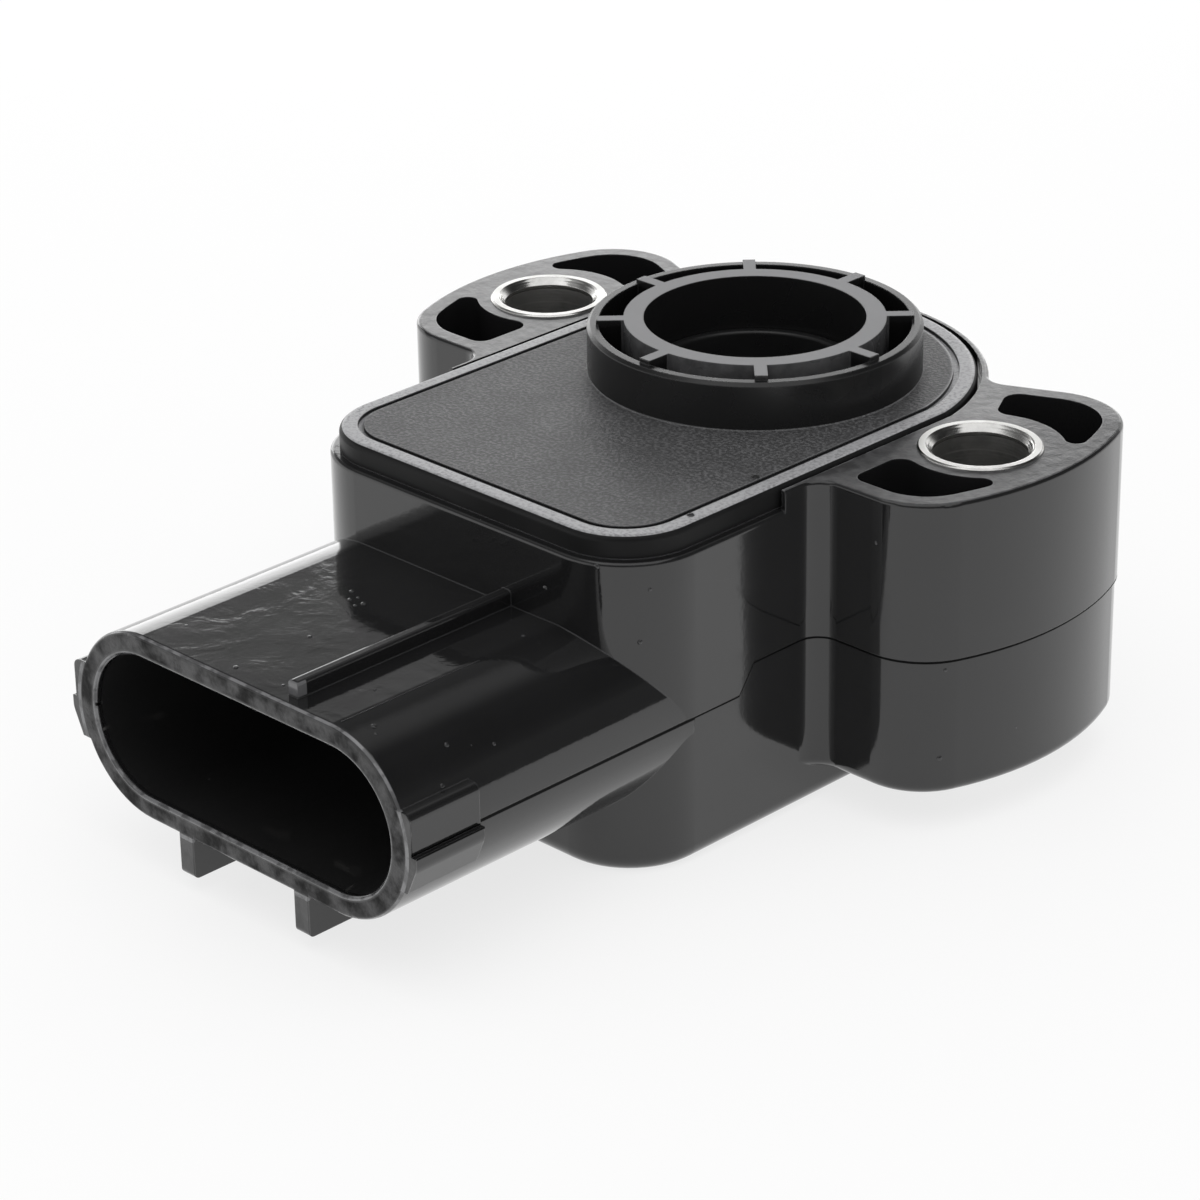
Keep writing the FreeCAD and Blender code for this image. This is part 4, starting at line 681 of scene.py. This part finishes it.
def turned_steel(metal, x):
    """A bushing's bright turned steel, with turning rings round its own axis."""
    look = Finish("turned_steel", Metallic=1.0)
    height = look.axes.outputs["Z"]
    radius = look.radius(x=x)
    rings = look.sums("SINE", look.times(radius, math.tau / metal.turning_pitch))
    layers = look.sums("SINE", look.times(height, math.tau / (metal.turning_pitch * 1.6)))
    fine = look.noise(0.00035, detail=4.0)
    stain = look.step(look.noise(0.0024, detail=4.0), 0.45, 0.75)
    bore = look.times(
        look.fade(radius, BUSHING_BORE, BUSHING_BORE + BUSHING_BORE_FADE),
        look.step(height, CHAMFER_FOOT, CHAMFER_FOOT - 0.0002),
    )
    ring = look.times(bore, look.inside(height, *BRIGHT_RING, 0.00006))
    # painted highlight on the bushing's up-facing crest
    crest = look.times(look.up(), look.step(height, CREST, CREST + 0.0002))

    def tone(factor):
        return shade(metal.steel_colour, factor)

    base = look.blend(stain, tone(1.2), tone(0.95))
    base = look.blend(look.times(fine, 0.2), base, tone(0.7))
    base = look.blend(bore, base, look.blend(stain, tone(0.78), tone(0.5)))
    # painted highlight: the crest gets a paler steel colour than the rest; its extra roughness is real
    base = look.blend(crest, base, tone(1.32))
    look.feed("Base Color", look.blend(look.times(ring, 0.8), base, tone(0.9)))
    rough = look.plus(0.13, fine, 0.10)
    rough = look.plus(rough, crest, 0.20)
    rough = look.plus(rough, bore, 0.22)
    look.feed("Roughness", look.plus(rough, stain, 0.1))
    look.relief((rings, 0.000002), (layers, 0.000003), (fine, 0.0000015), edge=0.00008)
    return look


def drawn_wire():
    """Spring steel wire: grey, with lengthwise draw marks and thin oil."""
    look = Finish("spring_wire", Metallic=1.0)
    clouds = look.noise(0.0014, detail=4.0)
    marks = look.noise(0.0002, detail=2.0, stretch=(1.0, 1.0, 6.0))
    look.feed("Base Color", look.blend(clouds, (0.34, 0.34, 0.33, 1.0), (0.52, 0.51, 0.49, 1.0)))
    look.feed("Roughness", look.step(clouds, 0.3, 0.7, 0.24, 0.4))
    look.relief((marks, 0.000004))
    return look


def rolled_alloy(name, light, dark, rough):
    """Thin rolled strip, as the wiper and the wavy washer are cut from."""
    look = Finish(name, Metallic=1.0)
    rolling = look.noise(0.0006, detail=4.0, stretch=(0.2, 1.0, 1.0))
    clouds = look.noise(0.003, detail=3.0)
    look.feed("Base Color", look.blend(clouds, dark, light))
    look.feed("Roughness", look.plus(rough, rolling, 0.12))
    look.relief((rolling, 0.000003))
    return look


def tinned_brass(metal):
    """The terminals: bright tin plate, a little dulled, with brass at worn edges."""
    look = Finish("tinned_brass", Metallic=1.0)
    colour = metal.tin_colour
    clouds = look.noise(0.0018, detail=5.0)
    rub = look.noise(0.0005, detail=3.0, stretch=(1.0, 0.15, 1.0))
    edge = look.edge_share(0.00012)
    base = look.blend(clouds, shade(colour, 0.82), shade(colour, 1.15))
    look.feed("Base Color", look.blend(look.times(edge, 0.35), base, (0.62, 0.46, 0.22, 1.0)))
    look.feed("Roughness", look.step(rub, 0.3, 0.75, 0.22, 0.42))
    look.relief((rub, 0.000005), edge=0.00006)
    return look


def dull_solder():
    """Solder: pale grey, smooth and slightly frosted."""
    look = Finish("solder", Metallic=1.0)
    frost = look.noise(0.0005, detail=5.0)
    look.feed("Base Color", look.blend(frost, (0.42, 0.43, 0.44, 1.0), (0.60, 0.61, 0.62, 1.0)))
    look.feed("Roughness", look.step(frost, 0.35, 0.65, 0.25, 0.48))
    look.relief((frost, 0.00001))
    return look


def black_rubber():
    """The rotor's seal: matt black rubber, with a fine bloom."""
    look = Finish("black_rubber", IOR=1.52)
    bloom = look.noise(0.0015, detail=5.0)
    look.feed("Base Color", look.blend(bloom, (0.012, 0.012, 0.012, 1.0), (0.028, 0.028, 0.029, 1.0)))
    look.feed("Roughness", look.step(bloom, 0.35, 0.7, 0.5, 0.68))
    look.relief((look.noise(0.00025, detail=3.0), 0.00001))
    return look


def cured_sealant():
    """The bead under the cover: cured silicone, dark grey and slightly glossy."""
    look = Finish("cured_sealant", IOR=1.42)
    flow = look.noise(0.0022, detail=3.0)
    look.feed("Base Color", look.blend(flow, (0.03, 0.03, 0.032, 1.0), (0.055, 0.055, 0.058, 1.0)))
    look.feed("Roughness", look.step(flow, 0.3, 0.7, 0.28, 0.42))
    look.relief((flow, 0.00004))
    return look


def laminate_board():
    """The resistor board: green-brown laminate whose glass weave shows through."""
    look = Finish("laminate_board", IOR=1.55)
    warp = look.sums("SINE", look.times(look.axes.outputs["X"], math.tau / 0.0009))
    weft = look.sums("SINE", look.times(look.axes.outputs["Y"], math.tau / 0.0009))
    weave = look.plus(0.5, look.times(warp, weft), 0.5)
    clouds = look.noise(0.005, detail=3.0)
    base = look.blend(clouds, (0.16, 0.13, 0.05, 1.0), (0.22, 0.19, 0.08, 1.0))
    look.feed("Base Color", look.blend(look.times(weave, 0.35), base, (0.30, 0.27, 0.14, 1.0)))
    look.feed("Roughness", look.step(clouds, 0.3, 0.7, 0.32, 0.45))
    look.relief((weave, 0.000006))
    return look


def printed_ink(name, dark, light, rough, wiped):
    """A screen-printed track: fine grain, with rubbed rings round the rotor's axis where the wiper runs."""
    look = Finish(name, IOR=1.5)
    grain = look.noise(0.00012, detail=3.0)
    rings = look.noise(0.0004, detail=2.0)
    run = look.sums("SINE", look.times(look.radius(), math.tau / 0.00035))
    look.feed("Base Color", look.blend(grain, dark, light))
    rubbed = look.plus(rough, run, wiped)
    look.feed("Roughness", look.plus(rubbed, rings, 0.1))
    look.relief((grain, 0.000004), (run, 0.0000012))
    return look


class SENSOR_OT_finish_mouldings(bpy.types.Operator):
    """Puts the black mouldings' finishes on the housing, the cover and the rotor"""

    bl_idname = "sensor.finish_mouldings"
    bl_label = "Finish the mouldings"
    bl_options = {"REGISTER", "UNDO"}

    def execute(self, context):
        moulding = context.scene.sensor_moulding
        wear("housing", glossy_moulding(moulding))
        wear("cover", grained_moulding(moulding))
        wear("rotor", satin_moulding(moulding))
        return {"FINISHED"}


class SENSOR_OT_finish_bushings(bpy.types.Operator):
    """Puts turned steel on the two bolt bushings"""

    bl_idname = "sensor.finish_bushings"
    bl_label = "Finish the bushings"
    bl_options = {"REGISTER", "UNDO"}

    def execute(self, context):
        for bushing in BUSHINGS:
            low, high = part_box(bushing)
            wear(bushing, turned_steel(context.scene.sensor_metal, (low.x + high.x) / 2))
        return {"FINISHED"}


class SENSOR_OT_finish_springs(bpy.types.Operator):
    """Puts spring wire, washer steel and wiper alloy on the moving metal"""

    bl_idname = "sensor.finish_springs"
    bl_label = "Finish the springs and the wiper"
    bl_options = {"REGISTER", "UNDO"}

    def execute(self, context):
        wear("return_spring", drawn_wire())
        washer = rolled_alloy("washer_steel", (0.56, 0.55, 0.53, 1.0), (0.40, 0.40, 0.39, 1.0), 0.24)
        wear("disc_spring", washer)
        strip = rolled_alloy("wiper_alloy", (0.80, 0.70, 0.48, 1.0), (0.66, 0.56, 0.36, 1.0), 0.20)
        wear("wiper", strip)
        return {"FINISHED"}


class SENSOR_OT_finish_contacts(bpy.types.Operator):
    """Puts tin plate on the terminals and solder on their joints"""

    bl_idname = "sensor.finish_contacts"
    bl_label = "Finish the terminals and solder"
    bl_options = {"REGISTER", "UNDO"}

    def execute(self, context):
        tin = tinned_brass(context.scene.sensor_metal)
        for terminal in TERMINALS:
            wear(terminal, tin)
        solder = dull_solder()
        for joint in SOLDER_JOINTS:
            wear(joint, solder)
        return {"FINISHED"}


class SENSOR_OT_finish_board(bpy.types.Operator):
    """Puts laminate on the resistor board and printed ink on its tracks"""

    bl_idname = "sensor.finish_board"
    bl_label = "Finish the board and tracks"
    bl_options = {"REGISTER", "UNDO"}

    def execute(self, context):
        wear("resistor_board", laminate_board())
        carbon = printed_ink("carbon_ink", (0.010, 0.010, 0.011, 1.0), (0.03, 0.03, 0.03, 1.0), 0.42, 0.05)
        wear("resistive_track", carbon)
        silver = printed_ink("silver_ink", (0.42, 0.41, 0.39, 1.0), (0.58, 0.57, 0.54, 1.0), 0.38, 0.03)
        silver.shader.inputs["Metallic"].default_value = 0.7
        for trace in SILVER_TRACES:
            wear(trace, silver)
        return {"FINISHED"}


class SENSOR_OT_finish_seals(bpy.types.Operator):
    """Puts rubber on the rotor's seal and cured sealant on the cover's bead"""

    bl_idname = "sensor.finish_seals"
    bl_label = "Finish the seals"
    bl_options = {"REGISTER", "UNDO"}

    def execute(self, context):
        wear("rotor_seal", black_rubber())
        wear("cover_seal", cured_sealant())
        return {"FINISHED"}


# ---- Moulding marks ----

# Where the housing has a pip, in millimetres: a point near its surface, and the way it faces there.
HOUSING_PIPS = (
    ((-1.2, -50.3, -7.25), (0, 0, 1)),
    ((-1.1, -43.7, -7.25), (0, 0, 1)),
    ((3.2, -49.9, -7.25), (0, 0, 1)),
    ((8.2, -46.2, -7.25), (0, 0, 1)),
    ((11.7, -49.5, -7.25), (0, 0, 1)),
    ((12.3, -49.9, -7.25), (0, 0, 1)),
    ((9.5, -33.6, -7.25), (0, 0, 1)),
    ((-4.4, -36.8, -7.25), (0, 0, 1)),
    ((-3.3, -37.2, -7.25), (0, 0, 1)),
    ((-2.3, -37.6, -7.25), (0, 0, 1)),
    ((-2.5, -38.2, -7.25), (0, 0, 1)),
    ((-3.5, -37.8, -7.25), (0, 0, 1)),
    ((14.7, -45.8, -9.2), (0.7, 0, 0.7)),
    ((15.5, -42.3, -10.2), (0.8, 0, 0.6)),
    ((16.1, -47.6, -11.1), (0.9, 0, 0.4)),
    ((8.9, -30.82, -4.8), (0, -1, 0)),
    ((13.3, -30.82, -2.0), (0, -1, 0)),
    ((15.2, -27.0, -3.7), (0.7, -0.7, 0)),
    ((15.2, -28.0, -7.6), (0.7, -0.7, 0)),
    ((22.3, -11.8, -3.6), (0, -1, 0)),
    ((27.0, -9.5, -13.0), (0.7, -0.7, 0)),
    ((26.6, -9.5, -19.9), (0.7, -0.7, 0)),
)

# Gate marks on the cover, in the same way.
COVER_PIPS = (
    ((14.1, -15.2, 0.0), (0, 0, 1)),
    ((15.2, -22.9, 0.0), (0, 0, 1)),
)

# The shroud's fine raised line beside its rib: its two ends, in millimetres.
WITNESS_LINE = ((10.05, -50.9, -7.26), (10.05, -38.3, -7.26))

# How far outside a pip's point the search for the surface starts, and how far it goes, in metres.
RAY_START = 0.004
RAY_LENGTH = 0.012


def surface_of(node):
    """A search tree over a node's own mesh."""
    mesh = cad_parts[node].data
    corners = [vertex.co.copy() for vertex in mesh.vertices]
    return BVHTree.FromPolygons(corners, [tuple(face.vertices) for face in mesh.polygons])


def landed(tree, point, facing):
    """Where a ray from outside first meets a surface near a point, and the surface's normal there."""
    aim = Vector(point) * MM
    out = Vector(facing).normalized()
    spot, normal, _, _ = tree.ray_cast(aim + out * RAY_START, -out, RAY_LENGTH)
    if spot is None:
        raise RuntimeError(f"no surface at {point}")
    return spot, normal


def group_with_inputs(name, *sockets):
    """An empty Geometry Nodes tree that takes and gives geometry, with named inputs for its sizes."""
    tree = bpy.data.node_groups.new(name, "GeometryNodeTree")
    tree.interface.new_socket("Geometry", in_out="INPUT", socket_type="NodeSocketGeometry")
    for label, kind, value in sockets:
        socket = tree.interface.new_socket(label, in_out="INPUT", socket_type=kind)
        if value is not None:
            socket.default_value = value
    tree.interface.new_socket("Geometry", in_out="OUTPUT", socket_type="NodeSocketGeometry")
    return tree


def put_ending(tree, geometry, finish):
    """The end of a Geometry Nodes tree: real meshes, shaded smooth, in their finish."""
    real = put_node(tree, "GeometryNodeRealizeInstances", {"Geometry": geometry})
    smooth = put_node(tree, "GeometryNodeSetShadeSmooth", {"Geometry": real.outputs["Geometry"]})
    inputs = {"Geometry": smooth.outputs["Geometry"], "Material": finish}
    finished = put_node(tree, "GeometryNodeSetMaterial", inputs)
    put_node(tree, "NodeGroupOutput", {"Geometry": finished.outputs["Geometry"]})


def pip_tree(material):
    """A flattened dome on every vertex, turned the way the vertex faces, with small differences in size."""
    tree = group_with_inputs(
        "moulded_pips",
        ("Radius", "NodeSocketFloat", 0.00013),
        ("Height", "NodeSocketFloat", 0.55),
        ("Seed", "NodeSocketInt", 7),
        ("Finish", "NodeSocketMaterial", material),
    )
    given = put_node(tree, "NodeGroupInput")
    way = put_node(tree, "GeometryNodeInputNamedAttribute", {"Name": "facing"}, data_type="FLOAT_VECTOR")
    turn = put_node(tree, "FunctionNodeAlignRotationToVector", {"Vector": way.outputs[0]}, axis="Z")
    low = put_sum(tree, "MULTIPLY", given.outputs["Radius"], 0.7)
    high = put_sum(tree, "MULTIPLY", given.outputs["Radius"], 1.3)
    inputs = {"Seed": given.outputs["Seed"], 2: low, 3: high}
    width = put_node(tree, "FunctionNodeRandomValue", inputs, data_type="FLOAT").outputs[1]
    tall = put_sum(tree, "MULTIPLY", width, given.outputs["Height"])
    size = put_node(tree, "ShaderNodeCombineXYZ", {"X": width, "Y": width, "Z": tall})
    dome = put_node(tree, "GeometryNodeMeshIcoSphere", {"Radius": 1.0, "Subdivisions": 3})
    inputs = {"Points": given.outputs["Geometry"], "Instance": dome.outputs["Mesh"]}
    inputs.update({"Rotation": turn.outputs["Rotation"], "Scale": size.outputs["Vector"]})
    spread = put_node(tree, "GeometryNodeInstanceOnPoints", inputs)
    put_ending(tree, spread.outputs["Instances"], given.outputs["Finish"])
    return tree


def baked(carrier, tree, values):
    """A carrier with the plain mesh that a tree makes of it. The modifier is gone afterwards."""
    modifier = carrier.modifiers.new(tree.name, "NODES")
    modifier.node_group = tree
    for item in tree.interface.items_tree:
        if item.in_out == "INPUT" and item.name in values:
            modifier[item.identifier] = values[item.name]
    depsgraph = bpy.context.evaluated_depsgraph_get()
    mesh = bpy.data.meshes.new_from_object(carrier.evaluated_get(depsgraph), depsgraph=depsgraph)
    carrier.modifiers.remove(modifier)
    old = carrier.data
    carrier.data = mesh
    mesh.name = carrier.name
    bpy.data.meshes.remove(old)
    return carrier


def carrier_of(name, points, facings=None, edges=()):
    """An object at the origin that holds points, with the way that each one faces, for a tree to work on."""
    mesh = bpy.data.meshes.new(name)
    mesh.from_pydata([tuple(p) for p in points], list(edges), [])
    if facings:
        attribute = mesh.attributes.new("facing", "FLOAT_VECTOR", "POINT")
        attribute.data.foreach_set("vector", [c for f in facings for c in f])
    piece = bpy.data.objects.new(name, mesh)
    bpy.context.scene.collection.objects.link(piece)
    return piece


def line_tree(material):
    """A thin round bead along every edge of the carrier."""
    tree = group_with_inputs(
        "witness_lines",
        ("Width", "NodeSocketFloat", 0.00012),
        ("Finish", "NodeSocketMaterial", material),
    )
    given = put_node(tree, "NodeGroupInput")
    path = put_node(tree, "GeometryNodeMeshToCurve", {"Mesh": given.outputs["Geometry"]})
    half = put_sum(tree, "MULTIPLY", given.outputs["Width"], 0.5)
    ring = put_node(tree, "GeometryNodeCurvePrimitiveCircle", {"Resolution": 10, "Radius": half})
    bead = put_node(
        tree,
        "GeometryNodeCurveToMesh",
        {"Curve": path.outputs["Curve"], "Profile Curve": ring.outputs["Curve"], "Fill Caps": True},
    )
    put_ending(tree, bead.outputs["Mesh"], given.outputs["Finish"])
    return tree


def set_pips(name, node, places, radius, marks):
    """Domes on a node's surface at given places, in the node's own finish."""
    surface = surface_of(node)
    landings = [landed(surface, point, facing) for point, facing in places]
    carrier = carrier_of(name, [p for p, _ in landings], [n for _, n in landings])
    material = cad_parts[node].material_slots[0].material
    values = {"Radius": radius, "Height": marks.pip_height, "Seed": marks.seed, "Finish": material}
    pips = baked(carrier, pip_tree(material), values)
    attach(pips, "case")


class SENSOR_OT_mould_pips(bpy.types.Operator):
    """Sets the small pips that the mould leaves on the housing and the gate marks on the cover"""

    bl_idname = "sensor.mould_pips"
    bl_label = "Mould pips"
    bl_options = {"REGISTER", "UNDO"}

    def execute(self, context):
        marks = context.scene.sensor_marks
        set_pips("housing_pips", "housing", HOUSING_PIPS, marks.pip_radius, marks)
        set_pips("cover_gate_marks", "cover", COVER_PIPS, marks.gate_radius, marks)
        return {"FINISHED"}


class SENSOR_OT_mould_lines(bpy.types.Operator):
    """Lays the fine raised line that an insert of the mould leaves on the shroud"""

    bl_idname = "sensor.mould_lines"
    bl_label = "Mould lines"
    bl_options = {"REGISTER", "UNDO"}

    def execute(self, context):
        marks = context.scene.sensor_marks
        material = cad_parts["housing"].material_slots[0].material
        carrier = carrier_of("shroud_witness_line", [Vector(p) * MM for p in WITNESS_LINE], edges=[(0, 1)])
        line = baked(carrier, line_tree(material), {"Width": marks.line_width, "Finish": material})
        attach(line, "case")
        return {"FINISHED"}


# ---- Stage ----


# How bright the studio looks to gloss, by the height of the direction: 0 is level and 1 is straight up.
STUDIO_LEVELS = (
    (0.0, 1.0),
    (0.31, 1.0),
    (0.37, 0.48),
    (0.43, 0.34),
    (0.52, 0.10),
    (0.66, 0.10),
    (0.76, 0.28),
    (0.86, 0.28),
    (1.0, 0.14),
)

# Where the studio's white card ends towards the right, as that direction's X, and what is left beyond it.
CARD_END = (-0.15, 0.2)
BEYOND_CARD = 0.10

# How strongly the world lights matt surfaces, and how much of the floor's white is its own.
SOFT_LIGHT = 0.75
FLOOR_GLOW = 0.76
FLOOR_REACH = 1.6

# The softboxes: place, width and depth, and what they aim at.
OVERHEAD_LAMP = ((0.08, -0.09, 0.37), 0.46, 0.42)
BACK_LAMP = ((-0.26, 0.21, 0.06), 0.36, 0.165)
LAMP_AIM = (0, -0.015, 0)

# The camera: azimuth, elevation and roll in degrees, what it aims at, how far off it is, and its shift.
CAMERA_ANGLES = (45.635, 25.247, 1.159)
CAMERA_AIM = (0.018326, -0.038546, 0)
CAMERA_DISTANCE = 0.27428
CAMERA_SHIFT = 0.03254


def pale_world():
    """A white background, which gloss sees as a studio: white round the horizon and soft light overhead."""
    world = bpy.data.worlds.new("pale_studio")
    world.use_nodes = True
    tree = world.node_tree
    tree.nodes.clear()
    rays = put_node(tree, "ShaderNodeLightPath")
    way = put_node(tree, "ShaderNodeTexCoord")
    axes = put_node(tree, "ShaderNodeSeparateXYZ", {"Vector": way.outputs["Generated"]})
    dim = put_node(tree, "ShaderNodeValToRGB", {"Fac": axes.outputs["Z"]})
    dim.color_ramp.interpolation = "EASE"
    dim.color_ramp.elements[0].position = STUDIO_LEVELS[0][0]
    dim.color_ramp.elements[1].position = STUDIO_LEVELS[-1][0]
    for height, _ in STUDIO_LEVELS[1:-1]:
        dim.color_ramp.elements.new(height)
    for element, (_, level) in zip(dim.color_ramp.elements, STUDIO_LEVELS):
        element.color = (level, level, level, 1)
    open_side = put_range(tree, axes.outputs["X"], *CARD_END, 1.0, BEYOND_CARD)
    level = put_sum(tree, "MULTIPLY", dim.outputs["Color"], open_side)
    seen = put_sum(tree, "MAXIMUM", rays.outputs["Is Glossy Ray"], rays.outputs["Is Transmission Ray"])
    soft, gloss, white = (
        put_node(tree, "ShaderNodeBackground", {"Color": (1, 1, 1, 1), "Strength": strength}).outputs[0]
        for strength in (SOFT_LIGHT, level, 1.0)
    )
    either = put_light_mix(tree, seen, soft, gloss)
    every = put_light_mix(tree, rays.outputs["Is Camera Ray"], either, white)
    put_node(tree, "ShaderNodeOutputWorld", {"Surface": every})
    return world


def pale_floor(colour, height):
    """A wide plain floor that reads as white and keeps a faint shadow."""
    material = bpy.data.materials.new("pale_floor")
    material.use_nodes = True
    tree = material.node_tree
    tree.nodes.clear()
    place = put_node(tree, "ShaderNodeTexCoord").outputs["Object"]
    paper = put_node(tree, "ShaderNodeTexNoise", {"Vector": place, "Scale": 60.0, "Detail": 3.0})
    inputs = {0: paper.outputs["Fac"], 6: shade(colour, 0.99), 7: shade(colour, 1.01)}
    tint = put_node(tree, "ShaderNodeMix", inputs, data_type="RGBA")
    rays = put_node(tree, "ShaderNodeLightPath")
    seen = put_sum(tree, "MAXIMUM", rays.outputs["Is Camera Ray"], rays.outputs["Is Glossy Ray"])
    every = put_sum(tree, "MAXIMUM", seen, rays.outputs["Is Transmission Ray"])
    share = put_sum(tree, "MULTIPLY", every, FLOOR_GLOW)
    card = put_node(tree, "ShaderNodeBsdfDiffuse", {"Color": tint.outputs[2], "Roughness": 0.0})
    white = put_node(tree, "ShaderNodeEmission", {"Color": (1, 1, 1, 1), "Strength": 1.0})
    mixed = put_light_mix(tree, share, card.outputs[0], white.outputs[0])
    put_node(tree, "ShaderNodeOutputMaterial", {"Surface": mixed})
    mesh = bpy.data.meshes.new("floor")
    turns = ((-1, -1), (1, -1), (1, 1), (-1, 1))
    corners = [(x * FLOOR_REACH, y * FLOOR_REACH, height) for x, y in turns]
    mesh.from_pydata(corners, [], [(0, 1, 2, 3)])
    mesh.materials.append(material)
    floor = bpy.data.objects.new("floor", mesh)
    bpy.context.scene.collection.objects.link(floor)
    return floor


def softbox(name, place, width, depth, power):
    """A rectangular lamp that faces the sensor."""
    lamp = bpy.data.lights.new(name, "AREA")
    lamp.shape = "RECTANGLE"
    lamp.size = width
    lamp.size_y = depth
    lamp.energy = power
    box = bpy.data.objects.new(name, lamp)
    box.location = Vector(place)
    box.rotation_mode = "QUATERNION"
    box.rotation_quaternion = (Vector(LAMP_AIM) - Vector(place)).to_track_quat("-Z", "Y")
    bpy.context.scene.collection.objects.link(box)
    return box


def aimed_camera(focal_length):
    """The camera that looks down on the plug's corner."""
    azimuth, elevation, roll = (math.radians(angle) for angle in CAMERA_ANGLES)
    level = math.cos(elevation)
    back = Vector((math.sin(azimuth) * level, -math.cos(azimuth) * level, math.sin(elevation)))
    lens = bpy.data.cameras.new("camera")
    lens.sensor_width = 36
    lens.lens = focal_length
    lens.shift_x = CAMERA_SHIFT
    lens.clip_start = 0.01
    lens.clip_end = 10
    camera = bpy.data.objects.new("camera", lens)
    camera.location = Vector(CAMERA_AIM) + back * CAMERA_DISTANCE
    camera.rotation_mode = "QUATERNION"
    camera.rotation_quaternion = back.to_track_quat("Z", "Y") @ Quaternion((0, 0, 1), -roll)
    bpy.context.scene.collection.objects.link(camera)
    return camera


class SENSOR_OT_set_stage(bpy.types.Operator):
    """Lays the pale floor, hangs the soft lamps and sets the camera"""

    bl_idname = "sensor.set_stage"
    bl_label = "Set the stage"
    bl_options = {"REGISTER", "UNDO"}

    def execute(self, context):
        stage = context.scene.sensor_stage
        scene = context.scene
        scene.world = pale_world()
        scene.view_settings.view_transform = "Standard"
        pale_floor(stage.floor_colour, CAD_BOX[0].z)
        softbox("lamp_overhead", *OVERHEAD_LAMP, stage.top_power)
        softbox("lamp_back", *BACK_LAMP, stage.back_power)
        scene.camera = aimed_camera(stage.lens)
        return {"FINISHED"}


# ---- Sidebar and registration ----


class SENSOR_PT_sidebar(bpy.types.Panel):
    """Lists the steps and their sizes in the 3D view's sidebar"""

    bl_idname = "SENSOR_PT_sidebar"
    bl_label = "Throttle position sensor"
    bl_space_type = "VIEW_3D"
    bl_region_type = "UI"
    bl_category = "Sensor"

    def draw(self, context):
        for owner in GROUPS:
            box = self.layout.box()
            settings = getattr(context.scene, owner)
            for label in settings.__annotations__:
                box.prop(settings, label)
        for step in STEPS:
            self.layout.operator(step.bl_idname)


GROUPS = {
    "sensor_moulding": SensorMoulding,
    "sensor_metal": SensorMetal,
    "sensor_marks": SensorMarks,
    "sensor_stage": SensorStage,
}
STEPS = (
    SENSOR_OT_finish_mouldings,
    SENSOR_OT_finish_bushings,
    SENSOR_OT_finish_springs,
    SENSOR_OT_finish_contacts,
    SENSOR_OT_finish_board,
    SENSOR_OT_finish_seals,
    SENSOR_OT_mould_pips,
    SENSOR_OT_mould_lines,
    SENSOR_OT_set_stage,
)


def register():
    for kind in (*GROUPS.values(), *STEPS, SENSOR_PT_sidebar):
        bpy.utils.register_class(kind)
    for owner, kind in GROUPS.items():
        setattr(bpy.types.Scene, owner, bpy.props.PointerProperty(type=kind))


def unregister():
    for owner in GROUPS:
        delattr(bpy.types.Scene, owner)
    for kind in reversed((*GROUPS.values(), *STEPS, SENSOR_PT_sidebar)):
        bpy.utils.unregister_class(kind)


def main():
    """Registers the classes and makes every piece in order."""
    register()
    bpy.ops.sensor.finish_mouldings()
    bpy.ops.sensor.finish_bushings()
    bpy.ops.sensor.finish_springs()
    bpy.ops.sensor.finish_contacts()
    bpy.ops.sensor.finish_board()
    bpy.ops.sensor.finish_seals()
    bpy.ops.sensor.mould_pips()
    bpy.ops.sensor.mould_lines()
    bpy.ops.sensor.set_stage()


if __name__ == "__main__":
    main()
